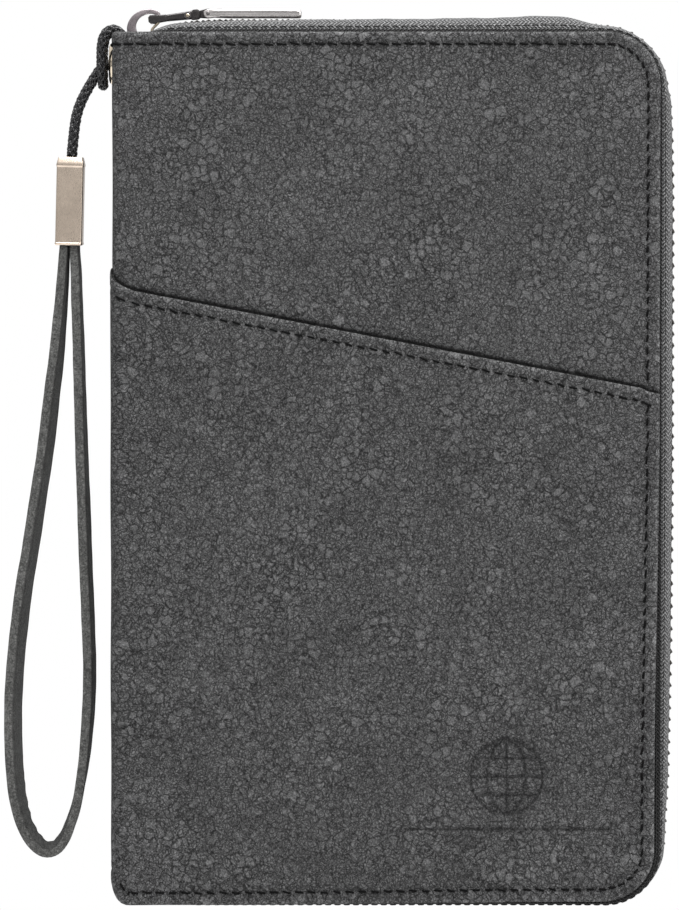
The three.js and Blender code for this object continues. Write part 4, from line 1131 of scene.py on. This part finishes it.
BLEND = {}
for side, nm in ((-1, "front"), (1, "back")):
    body = nm + "_cover"
    pts, tags = main_outline()
    pts = warp_edge(pts)
    cover, loop, tag, nrm, s_at = panel(nm + "_cover_hide", pts, tags, side, M_SUEDE, main_base, back_h=-0.97, seed=5 if side < 0 else 9, undulate=0.09,
                                        crease=mouth_gap_shade, dense=[(float(u), float(mouth(u)) + o_) for u in np.arange(U_MID + 0.4, EDGE_X - 1, 0.7) for o_ in (-0.6, 0.1, 0.5, 0.8, 1.15, 1.6)])
    th = stitches(nm + "_cover_stitching", loop, tag, nrm, s_at, main_base, side, body, ("roll",), lambda u, z: u > -66.6 and z > mouth(u) + 0.8)
    pts, tags = pocket_outline()
    pts = warp_edge(pts)
    boxes = [(GX - 9.6, GX + 9.6, GZ - 9.6, GZ + 9.6, 0.34), (2.0, 52.2, 16.8, 18.8, 0.34)] if side < 0 else ()
    pocket, loop, tag, nrm, s_at = panel(nm + "_slip_pocket_hide", pts, tags, side, M_SUEDE, pocket_base, back_h=-0.94, seed=21 + side, undulate=0.09,
                                         boxes=boxes, relief=tooled_relief if side < 0 else None, crease=tooled_dark if side < 0 else None)
    th2 = stitches(nm + "_pocket_stitching", loop, tag, nrm, s_at, pocket_base, side, body, ("roll",), lambda u, z: u > -64.0 and z < mouth(u) - 1.2, seed=4)
    th3 = stitches(nm + "_pocket_mouth_stitching", loop, tag, nrm, s_at, pocket_base, side, body, ("fold",), lambda u, z: -66.5 < u < 62.0, seed=6)
    for o in (cover, th, pocket, th2, th3):
        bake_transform(o)
    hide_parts(nm + "_cover_leather")
    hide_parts(nm + "_slip_pocket")
    if side < 0:
        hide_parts("spine_leather")
        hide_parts("spine_lower_panel")

    # lining, seen when the wallet is opened
    def inner(u, g, z, side=side):
        base_h = -2.6 + 1.0 * smooth(-63.4, -67.2, u)
        return wrap(u, base_h - g, z, side)

    i = 0.75
    lo = [(u, z + i + 0.1) for u, z in FOOT[::-1]]
    pts, tags = outline([("plain", lo), ("plain", [(C0, i)]), ("plain", arc_pts(C0, CORNER, CORNER - i, -90, 0, 10)), ("plain", [(EDGE_X - i, C1)]),
                         ("plain", arc_pts(C0, C1, CORNER - i, 0, 90, 10)), ("plain", [(-66.0, HEIGHT - i)]), ("plain", [(-68.5, HEIGHT - 2.2)]),
                         ("cut", [(U_MID, HEIGHT - 2.2)]), ("cut", arc_pts(U_MID, EYELET_Z, 3.3, 90, -90, 10)), ("cut", [(U_MID, 6.6)])])
    zero = lambda u, z: np.zeros_like(np.asarray(u, float))
    lining, *_ = panel(nm + "_lining_cloth", pts, tags, side, M_LINING, zero, back_h=-0.52, grid=3.0, undulate=0.04, step=1.2, mapper=inner, ripple=0)
    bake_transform(lining)
    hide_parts(nm + "_lining")
    if side < 0:
        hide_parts("spine_lining")

    def at(level, thick):
        """Inner pieces lie on the cover only; level is |y| of the face that shows."""
        return lambda u, g, z, side=side: np.stack([np.asarray(u, float), side * (level - np.asarray(g, float)), np.asarray(z, float)], -1)

    if side < 0:
        for k_, (node, top, yl) in enumerate((("card_slot_upper", 172.0, 7.42), ("card_slot_middle", 154.0, 6.92), ("card_slot_lower", 136.0, 6.42))):
            r_ = 3.0
            pts, tags = outline([("plain", [(-60.0, 6.0)]), ("plain", [(57.2 - r_, 6.0)]), ("plain", arc_pts(57.2 - r_, 6 + r_, r_, -90, 0, 6)),
                                 ("plain", [(57.2, top - 0.01)]), ("fold", [(57.2, top)]), ("fold", [(7.0, top)]), ("fold", arc_pts(0.0, top, 7.0, 0, -180, 14)),
                                 ("plain", [(-60.0, top)])])
            mp = at(yl, 0.45)
            slot_p, loop, tag, nrm, s_at = panel(node + "_leather", pts, tags, side, M_INNER, zero, back_h=-0.44, grid=3.5, undulate=0.03, step=1.2, mapper=mp, ripple=0.2)
            th = stitches(node + "_stitching", loop, tag, nrm, s_at, zero, side, body, ("fold",), lambda u, z: -58.5 < u < 56.5, seam=2.2, mapper=mp,
                          radius=0.16, span=0.95, seed=31 + k_, lift=0.14)
            for o in (slot_p, th):
                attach(o, body)
            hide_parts(node)
    else:
        pts, tags = outline([("plain", [(-60.0, 6.0)]), ("plain", [(54.2, 6.0)]), ("plain", arc_pts(54.2, 9.0, 3.0, -90, 0, 6)), ("plain", [(57.2, 177.9)]),
                             ("fold", [(57.2, 178.0)]), ("plain", [(-60.0, 190.0)])])
        mp = at(7.33, 0.5)
        bp, loop, tag, nrm, s_at = panel("boarding_pass_pocket_leather", pts, tags, side, M_INNER, zero, back_h=-0.52, grid=3.5, undulate=0.03, step=1.2, mapper=mp, ripple=0.2)
        th = stitches("boarding_pass_pocket_stitching", loop, tag, nrm, s_at, zero, side, body, ("fold",), lambda u, z: -58.5 < u < 56.5, seam=2.2, mapper=mp,
                      radius=0.16, span=0.95, seed=41, lift=0.14)
        pts, tags = outline([("plain", [(-38.0, 6.0)]), ("plain", [(54.2, 6.0)]), ("plain", arc_pts(54.2, 9.0, 3.0, -90, 0, 6)), ("plain", [(57.2, 133.9)]),
                             ("fold", [(57.2, 134.0)]), ("fold", [(17.0, 134.0)]), ("fold", arc_pts(8.0, 134.0, 9.0, 0, -180, 16)), ("fold", [(-35.0, 134.0)]),
                             ("plain", arc_pts(-35.0, 131.0, 3.0, 90, 180, 6))])
        mp2 = at(6.73, 0.5)
        pp, loop, tag, nrm, s_at = panel("passport_pocket_leather", pts, tags, side, M_INNER, zero, back_h=-0.52, grid=3.5, undulate=0.03, step=1.2, mapper=mp2, ripple=0.2)
        th2 = stitches("passport_pocket_stitching", loop, tag, nrm, s_at, zero, side, body, ("fold",), lambda u, z: -36.5 < u < 56.5, seam=2.2, mapper=mp2,
                       radius=0.16, span=0.95, seed=43, lift=0.14)
        for o in (bp, pp, th, th2):
            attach(o, body)
        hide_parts("boarding_pass_pocket")
        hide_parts("passport_pocket")

# ================================================================ zip: tapes, coils and their sewing (the stops are the CAD's)
base_pts, base_n = [], []
for x in np.arange(-57.6, C0, 0.6):
    base_pts.append((x, HEIGHT))
    base_n.append((0, 1))
for a in np.linspace(90, 0, 28):
    base_pts.append((C0 + CORNER * math.cos(math.radians(a)), C1 + CORNER * math.sin(math.radians(a))))
    base_n.append((math.cos(math.radians(a)), math.sin(math.radians(a))))
for z in np.arange(C1 - 0.6, CORNER, -0.6):
    base_pts.append((EDGE_X, z))
    base_n.append((1, 0))
for a in np.linspace(0, -90, 28):
    base_pts.append((C0 + CORNER * math.cos(math.radians(a)), CORNER + CORNER * math.sin(math.radians(a))))
    base_n.append((math.cos(math.radians(a)), math.sin(math.radians(a))))
for x in np.arange(C0 - 0.6, -53.0, -0.8):
    base_pts.append((x, 0))
    base_n.append((0, -1))
BP, BN = np.array(base_pts, float), np.array(base_n, float)
BP[:, 1] = settle(BP[:, 1])
BS = np.concatenate([[0], np.cumsum(np.linalg.norm(np.diff(BP, axis=0), axis=1))])
s_top = lambda x: x + 57.6
s_c1 = s_top(C0)
s_c2 = s_c1 + CORNER * math.pi / 2
s_side = lambda z: s_c2 + (C1 - z)
s_c3 = s_side(CORNER)
s_c4 = s_c3 + CORNER * math.pi / 2
PK = [(s_top(-57.6), -0.3), (s_top(-55.0), 0.4), (s_top(-53.0), 1.15), (s_top(-50.0), 1.85), (s_top(-46.0), 2.3), (s_top(-40.0), 2.55), (s_top(4), 2.5), (s_top(16), 2.08), (s_top(29), 2.12), (s_top(36), 2.9), (s_top(43), 2.55),
      (s_c1 - 5, 1.75), (s_c1, 1.15), ((s_c1 + s_c2) / 2, 0.9), (s_c2 + 1, 1.85), (s_side(191), 2.5), (s_side(182), 3.0), (s_side(168), 3.3), (s_side(100), 3.35), (s_side(60), 3.1), (s_side(30), 2.5),
      (s_c3, 1.5), ((s_c3 + s_c4) / 2, 0.2), (s_c4, -0.75), (s_c4 + 14, -1.25), (BS[-1], -1.3)]
p_at = lambda s: np.interp(s, [a for a, _ in PK], [b for _, b in PK])
HK = [(s_top(-57.6), -0.5), (s_top(-56.4), 0.3), (s_top(-53.6), 1.75), (s_top(-50.0), 2.15), (s_top(-45), 2.5), (s_top(-36), 2.7), (s_top(-20), 2.95), (s_top(10), 3.15), (s_top(27), 3.4),
      (s_top(36), 3.85), (s_top(43), 3.5), (s_c1 - 5, 2.15), (s_c1, 1.4), ((s_c1 + s_c2) / 2, 1.15), (s_c2 + 1, 1.95), (s_side(191), 2.85), (s_side(182), 3.0), (s_side(168), 3.2), (s_side(100), 3.25), (s_side(60), 3.0),
      (s_side(30), 2.5), (s_c3, 1.7), ((s_c3 + s_c4) / 2, 0.6), (s_c4, -0.05), (s_c4 + 14, -0.15), (BS[-1], -0.15)]
h_at = lambda s: np.interp(s, [a for a, _ in HK], [b for _, b in HK])
kern = np.hanning(15)
kern /= kern.sum()
pv = np.convolve(np.pad(p_at(BS), 7, mode="edge"), kern, "valid")
hv_ = np.convolve(np.pad(h_at(BS), 7, mode="edge"), kern, "valid")


def frame3(s):
    x = np.interp(s, BS, BP[:, 0])
    z = np.interp(s, BS, BP[:, 1])
    nx, nz = np.interp(s, BS, BN[:, 0]), np.interp(s, BS, BN[:, 1])
    L = np.hypot(nx, nz)
    return x, z, nx / L, nz / L


for side, nm in ((-1, "front"), (1, "back")):
    body = nm + "_cover"
    V, F, G, shade_paint = [], [], [], []
    m = None
    for i in range(len(BP)):
        p, H = float(pv[i]), float(hv_[i])
        wob = 0.05 * math.sin(BS[i] * 0.37) + 0.04 * math.sin(BS[i] * 0.91 + 1)
        ctrl = [(-5.0, 8.98), (-2.6, 8.98), (-0.5, 8.95), (0.42 * H, 8.35), (0.80 * H + 0.03, 7.15), (H + wob, 5.5), (H - 0.22 + wob, 4.55), (min(p - 0.95, H - 0.7), 3.3),
                (min(p - 1.12, H - 0.8), 2.1), (min(p - 1.12, H - 0.8), 0.75)]
        outer = spline(ctrl, 0.42)
        if m is None:
            m = 30
        q = np.linspace(0, 1, m)
        cl = np.concatenate([[0], np.cumsum(np.linalg.norm(np.diff(outer, axis=0), axis=1))])
        o2 = np.stack([np.interp(q * cl[-1], cl, outer[:, 0]), np.interp(q * cl[-1], cl, outer[:, 1])], 1)
        tt = np.gradient(o2, axis=0)
        tt /= np.linalg.norm(tt, axis=1)[:, None]
        nin = np.stack([tt[:, 1], -tt[:, 0]], 1)
        # the tape's back face, 0.42 mm in from its outer face
        inner_l = o2 + nin * 0.42
        sec2 = np.vstack([o2, inner_l[::-1]])
        gacross = np.concatenate([q * cl[-1], (q * cl[-1])[::-1]])
        for (n_, y_), ga in zip(sec2, gacross):
            V.append((BP[i, 0] + BN[i, 0] * n_, side * y_, BP[i, 1] + BN[i, 1] * n_))
            G.append((BS[i], ga, 0))
            # painted shade along the tape's bottom edge, passed as its crease
            shade_paint.append(float(smooth(s_c3, s_c4, BS[i])))
        ms = len(sec2)
        if i:
            for j in range(ms):
                k2 = (j + 1) % ms
                F.append(((i - 1) * ms + j, (i - 1) * ms + k2, i * ms + k2, i * ms + j))
    F.append(tuple(range(ms))[::-1])
    F.append(tuple((len(BP) - 1) * ms + j for j in range(ms)))
    tape = mesh_object(nm + "_tape_weave", V, F, M_TAPE, G, sharp=60, crease=shade_paint)
    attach(tape, body)
    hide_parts(nm + "_zip_tape")

    # coil: one flattened helix for this side, interleaved with the other side's
    pitch = 2.7
    s0, s1 = s_top(-53.2), BS[-1] - 2.0
    n_pts = int((s1 - s0) / pitch * 14)
    s = np.linspace(s0, s1, n_pts)
    ph = 2 * math.pi * s / pitch + (0 if side < 0 else math.pi)
    x, z, nx, nz = frame3(s + 0.10 * pitch * np.sin(2 * ph))
    pc = np.interp(s, BS, pv)
    if side > 0:
        pc = pc - 0.30 * smooth(s_c1, s_c1 + 6, s)
    nn = pc + 0.42 * np.sign(np.sin(ph)) * np.abs(np.sin(ph)) ** 0.7
    yy = 1.42 + 1.28 * np.cos(ph)
    path = np.stack([x + nx * nn, side * yy, z + nz * nn], 1)
    V, F, S = tubes([path], 0.27, 7)
    coil = mesh_object(nm + "_coil_teeth", V, F, M_COIL, S)
    # the core cord inside the coil
    s = np.linspace(s0, s1, 700)
    x, z, nx, nz = frame3(s)
    pc = np.interp(s, BS, pv)
    path = np.stack([x + nx * pc, np.full(len(s), side * 2.05), z + nz * pc], 1)
    V, F, S = tubes([path], 0.16, 6)
    core = mesh_object(nm + "_coil_core_cord", V, F, M_SEW_ZIP, S)
    for o in (coil, core):
        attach(o, body)
    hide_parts(nm + "_zip_coil")

    # sewing that holds the tape to the cover, a row just outside the leather's edge
    paths = []
    t = np.linspace(-1, 1, 7)
    for q in np.arange(s_top(-52), BS[-1] - 6, 2.2):
        s = q + t * 0.75
        x, z, nx, nz = frame3(s)
        H = np.interp(s, BS, hv_)
        nn, yy = 0.42 * H + 0.10 - 0.12 * np.abs(t) ** 4, np.full(7, 8.42)
        paths.append(np.stack([x + nx * nn, side * yy, z + nz * nn], 1))
    V, F, S = tubes(paths, 0.13, 6)
    sew = mesh_object(nm + "_tape_stitching", V, F, M_SEW_ZIP, S)
    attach(sew, body)

# ================================================================ slider: body, crown, pull link and tab
RAMP = math.radians(3.57)
SCX, SCZ = -59.6, 203.3
cr, sr = math.cos(RAMP), math.sin(RAMP)


def ramp_place(x, y, z):
    return (SCX + x * cr - z * sr, y, SCZ + x * sr + z * cr)


shield = [(-3.4, -2.3), (-2.9, -3.1), (-1.6, -3.6), (0.2, -3.95), (2.2, -4.1), (3.0, -3.9), (3.4, -3.3), (3.4, -1.2), (3.1, -0.5), (3.0, 0.0)]
shield = shield + [(x, -y) for x, y in shield[::-1][1:]]
top_plate = prism("plate_top", shield, 1.02, 1.78, M_NICKEL, bevel=0.22, axis="z", place=ramp_place)
bot_plate = prism("plate_bottom", shield, -2.58, -1.82, M_NICKEL, bevel=0.22, axis="z", place=ramp_place)
post = prism("plate_post", [(-3.0, -0.28), (-2.4, -0.4), (0.6, -0.38), (1.8, -0.1), (1.8, 0.1), (0.6, 0.38), (-2.4, 0.4), (-3.0, 0.28)], -1.9, 1.1, M_NICKEL, bevel=0.0,
             axis="z", place=ramp_place)
boss = prism("plate_boss", [(-2.6, -1.0), (2.4, -1.0), (2.6, -0.8), (2.6, 0.8), (2.4, 1.0), (-2.6, 1.0), (-2.8, 0.8), (-2.8, -0.8)], 1.7, 1.98, M_NICKEL, bevel=0.1, axis="z",
             place=ramp_place)
body_ = join("slider_plates", [top_plate, bot_plate, post, boss])
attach(body_, "slider")
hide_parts("slider_body")

outer = spline([(-62.55, 205.0), (-62.72, 206.3), (-62.75, 207.3), (-62.3, 208.75), (-61.15, 210.2), (-59.4, 211.2), (-57.3, 211.55), (-55.75, 211.3), (-54.95, 210.6), (-54.85, 209.9)], 0.35)
inner_ = spline([(-55.55, 209.75), (-55.9, 210.15), (-56.6, 210.4), (-57.4, 210.45), (-58.6, 210.15), (-59.75, 209.45), (-60.4, 208.5), (-60.65, 207.5), (-60.5, 206.5), (-60.15, 205.0)], 0.35)
crown = prism("crown_arch", [tuple(p) for p in outer] + [tuple(p) for p in inner_], -1.28, 1.28, M_CROWN, bevel=0.16)
lo_ = spline([(-54.85, 209.9), (-54.75, 209.2), (-55.0, 208.3), (-55.7, 207.5), (-56.5, 206.6), (-56.75, 205.0)], 0.3)
li_ = spline([(-57.25, 205.0), (-57.1, 206.8), (-56.35, 207.75), (-55.7, 208.5), (-55.42, 209.2), (-55.55, 209.75)], 0.3)
limb = prism("crown_limb", [tuple(p) for p in lo_] + [tuple(p) for p in li_], -0.9, 0.9, M_EYELET, bevel=0.12)
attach(crown, "slider")
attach(limb, "slider")
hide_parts("slider_crown")

PA, PB = np.array([-56.6, 209.1]), np.array([-43.5, 210.5])
du = (PB - PA) / np.linalg.norm(PB - PA)
dv = np.array([-du[1], du[0]])


def link_xy(u, v):
    q = PA + du * u + dv * v
    return (float(q[0]), float(q[1]))


def link_outline(pts):
    return [link_xy(u, v) for u, v in pts]


def rod(name, a, b, r, mat, n=28, rim=0.12):
    """A pin along Y with rounded ends."""
    y0, y1 = a[1], b[1]
    prof = [(0.0, y0), (r - rim * 2, y0), (r - rim * 0.6, y0 + rim * 0.35), (r, y0 + rim * 1.4), (r, y1 - rim * 1.4), (r - rim * 0.6, y1 - rim * 0.35), (r - rim * 2, y1), (0.0, y1)]
    V, F = [(a[0], y0, a[2])], []
    mid = prof[1:-1]
    for rr, y in mid:
        V += [(a[0] + rr * math.cos(2 * math.pi * i / n), y, a[2] + rr * math.sin(2 * math.pi * i / n)) for i in range(n)]
    V.append((a[0], y1, a[2]))
    for i in range(n):
        F.append((0, 1 + (i + 1) % n, 1 + i))
    for k_ in range(len(mid) - 1):
        for i in range(n):
            j = (i + 1) % n
            F.append((1 + k_ * n + i, 1 + k_ * n + j, 1 + (k_ + 1) * n + j, 1 + (k_ + 1) * n + i))
    e = 1 + (len(mid) - 1) * n
    for i in range(n):
        F.append((e + i, e + (i + 1) % n, len(V) - 1))
    return mesh_object(name, V, F, mat, sharp=50)


# eye: the link's end that passes through the crown, a rounded bar between two cheeks
cheek = [(-1.05, -0.55), (-0.6, -1.0), (0.3, -1.05), (1.4, -0.9), (3.2, -0.78), (3.2, 0.78), (1.4, 0.9), (0.3, 1.05), (-0.6, 1.0), (-1.05, 0.55)]
link_parts = [prism("cheek_a", link_outline(cheek), -2.5, -1.72, M_DARK, bevel=0.16), prism("cheek_b", link_outline(cheek), 1.72, 2.5, M_DARK, bevel=0.16)]
bodyo = [(2.9, -0.62), (3.3, -0.80), (9.4, -0.92), (10.9, -0.92), (11.15, -0.7), (11.15, 0.85), (10.9, 1.05), (9.4, 1.05), (8.6, 0.95), (3.3, 0.72), (2.9, 0.55)]
link_parts.append(bar("link_bar", bodyo, -2.5, 2.5, M_NICKEL, 0.42, place=lambda q: link_xy(*q)))
# raised frame at the tab end
frame_o = [(9.0, -1.02), (9.4, -1.12), (10.7, -1.12), (11.1, -0.9), (11.1, 1.0), (10.7, 1.25), (9.9, 1.25), (9.5, 1.1)]
link_parts.append(prism("link_frame", link_outline(frame_o), -2.62, -2.38, M_EYELET, bevel=0.1))
link_parts.append(prism("link_frame_b", link_outline(frame_o), 2.38, 2.62, M_EYELET, bevel=0.1))
ear = [(10.8, -0.8), (12.6, -1.1), (13.2, -1.18), (13.9, -0.95), (14.3, -0.4), (14.3, 0.4), (13.9, 0.95), (13.2, 1.18), (12.6, 1.1), (10.8, 0.8)]
link_parts.append(prism("link_ear", link_outline(ear), -1.2, 1.2, M_NICKEL, bevel=0.18))
link = join("link_body", link_parts)
eye_bar = rod("link_eye_bar", (PA[0], -2.45, PA[1]), (PA[0], 2.45, PA[1]), 0.72, M_PIN)
ru = link_xy(8.35, 0.02)
rivet = rod("link_rivet_head", (ru[0], -2.78, ru[1]), (ru[0], 2.78, ru[1]), 0.50, M_EYELET)
ring_ = lathe("link_rivet_seat", [(0.52, 0.0), (0.60, 0.16), (0.78, 0.16), (0.86, 0.0), (0.82, -0.12), (0.56, -0.12)], M_PIN, lambda a, b, h: (ru[0] + a, -2.5 - h, ru[1] + b), n=40)
for o in (link, eye_bar, rivet, ring_):
    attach(o, "pull_link")
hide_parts("pull_link")
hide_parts("link_rivet")

# tab: a flat bar with a domed top, softened edges and a clevis at the link end
TX0, TX1, TZ0, TZ1 = -41.8, -21.4, 209.35, 211.65
tab_o = [(TX0, TZ0 + 0.35), (TX0 + 0.25, TZ0 + 0.12), (TX0 + 4, TZ0 + 0.0), (TX1 - 0.6, TZ0 - 0.0), (TX1 - 0.15, TZ0 + 0.15), (TX1, TZ0 + 0.5), (TX1, TZ1 - 0.75),
         (TX1 - 0.22, TZ1 - 0.3), (TX1 - 0.75, TZ1 - 0.06), (TX1 - 3.5, TZ1), (TX0 + 3, TZ1), (TX0 + 0.4, TZ1 - 0.1), (TX0, TZ1 - 0.45)]
tab_parts = [bar("tab_bar", tab_o, -2.5, 2.5, M_NICKEL, 0.62)]
clev = [(TX0 + 1.2, TZ0 + 0.2), (TX0 + 1.2, TZ1 - 0.3), (TX0 - 0.4, TZ1 - 0.30), (-43.0, TZ1 - 0.12), (-43.9, TZ1 - 0.28), (-44.45, 211.0), (-44.55, 210.4), (-44.3, 209.75), (-43.7, 209.42),
        (-43.0, 209.42), (TX0 - 0.4, TZ0 + 0.2)]
tab_parts += [prism("tab_ear_a", clev, -2.48, -1.52, M_DARK, bevel=0.12), prism("tab_ear_b", clev, 1.52, 2.48, M_DARK, bevel=0.12)]
tab = join("tab_body", tab_parts)
tpin = rod("tab_hinge_pin", (PB[0], -2.6, PB[1]), (PB[0], 2.6, PB[1]), 0.5, M_PIN)
for o in (tab, tpin):
    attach(o, "pull_tab")
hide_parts("pull_tab")
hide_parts("tab_pin")

# ---------------------------------------------------------------- CAD nodes that stay
for nm_, mat in (("front_board", M_BOARD), ("back_board", M_BOARD), ("front_top_stop", M_NICKEL), ("back_top_stop", M_NICKEL), ("bottom_stop", M_NICKEL)):
    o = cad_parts[nm_]
    o.data.materials.clear()
    o.data.materials.append(mat)

# ---------------------------------------------------------------- light
world = bpy.data.worlds.new("studio")
scene.world = world
world.use_nodes = True
wt = world.node_tree
wt.nodes.clear()
wo = wt.nodes.new("ShaderNodeOutputWorld")
mixw = wt.nodes.new("ShaderNodeMixShader")
lp = wt.nodes.new("ShaderNodeLightPath")
bg_cam = wt.nodes.new("ShaderNodeBackground")
bg_cam.inputs["Color"].default_value = (1, 1, 1, 1)
bg_cam.inputs["Strength"].default_value = 1.0
tc = wt.nodes.new("ShaderNodeTexCoord")
sp_ = wt.nodes.new("ShaderNodeSeparateXYZ")
wt.links.new(tc.outputs["Generated"], sp_.inputs[0])
mr = wt.nodes.new("ShaderNodeMapRange")
wt.links.new(sp_.outputs["Z"], mr.inputs[0])
for k_, v_ in zip((1, 2, 3, 4), (-1.0, 1.0, 0.0, 1.0)):
    mr.inputs[k_].default_value = v_
def sky(stops, strength):
    r = wt.nodes.new("ShaderNodeValToRGB")
    wt.links.new(mr.outputs[0], r.inputs[0])
    els = r.color_ramp.elements
    while len(els) < len(stops):
        els.new(0.5)
    for e_, (pos, v_) in zip(els, stops):
        e_.position = pos
        e_.color = (v_, v_, v_ * 1.005, 1)
    b_ = wt.nodes.new("ShaderNodeBackground")
    wt.links.new(r.outputs[0], b_.inputs["Color"])
    b_.inputs["Strength"].default_value = strength
    return b_


# soft white tent for the matte surfaces; for the metal, a tent with a dim band at eye level and bright top and floor
soft = sky([(0.0, 0.42), (0.42, 0.50), (0.55, 0.42), (0.72, 0.95), (1.0, 1.0)], 0.85)
shiny = sky([(0.0, 0.95), (0.36, 0.95), (0.42, 0.08), (0.455, 0.30), (0.50, 0.42), (0.53, 0.36), (0.56, 0.06), (0.62, 0.50), (0.68, 0.72), (1.0, 0.56)], 1.45)
mixg = wt.nodes.new("ShaderNodeMixShader")
wt.links.new(lp.outputs["Is Glossy Ray"], mixg.inputs[0])
wt.links.new(soft.outputs[0], mixg.inputs[1])
wt.links.new(shiny.outputs[0], mixg.inputs[2])
wt.links.new(lp.outputs["Is Camera Ray"], mixw.inputs[0])
wt.links.new(mixg.outputs[0], mixw.inputs[1])
wt.links.new(bg_cam.outputs[0], mixw.inputs[2])
wt.links.new(mixw.outputs[0], wo.inputs["Surface"])


def area(name, loc, target, size, power, size_y=None):
    l = bpy.data.lights.new(name, "AREA")
    l.energy = power
    l.size = size
    if size_y:
        l.shape, l.size_y = "RECTANGLE", size_y
    o = bpy.data.objects.new(name, l)
    o.location = loc
    o.rotation_mode = "QUATERNION"
    o.rotation_quaternion = (Vector(target) - Vector(loc)).to_track_quat("-Z", "Y")
    scene.collection.objects.link(o)
    return o


mid_ = (-0.012, 0, 0.10)
area("key_top", (0.30, -0.85, 0.95), mid_, 0.5, 8.0)
area("top_strip", (0.05, -0.10, 0.95), mid_, 0.9, 12.0, 0.35)
area("right_fill", (0.9, -0.6, 0.35), mid_, 0.6, 2.2)

fm = Nodes("floor_paper")
fn = fm.noise(fm.n("TexCoord").outputs["Object"], 30.0, 2.0)
fm.set(color=fm.times((0.8, 0.8, 0.8), fm.remap(fn, 0.3, 0.7, 0.98, 1.0)), rough=0.9)
floor = mesh_object("floor", [(-1500, -1500, -1.2), (1500, -1500, -1.2), (1500, 1500, -1.2), (-1500, 1500, -1.2)], [(0, 1, 2, 3)], fm.mat, smooth_shade=False)
floor.visible_camera = False
floor.visible_glossy = False
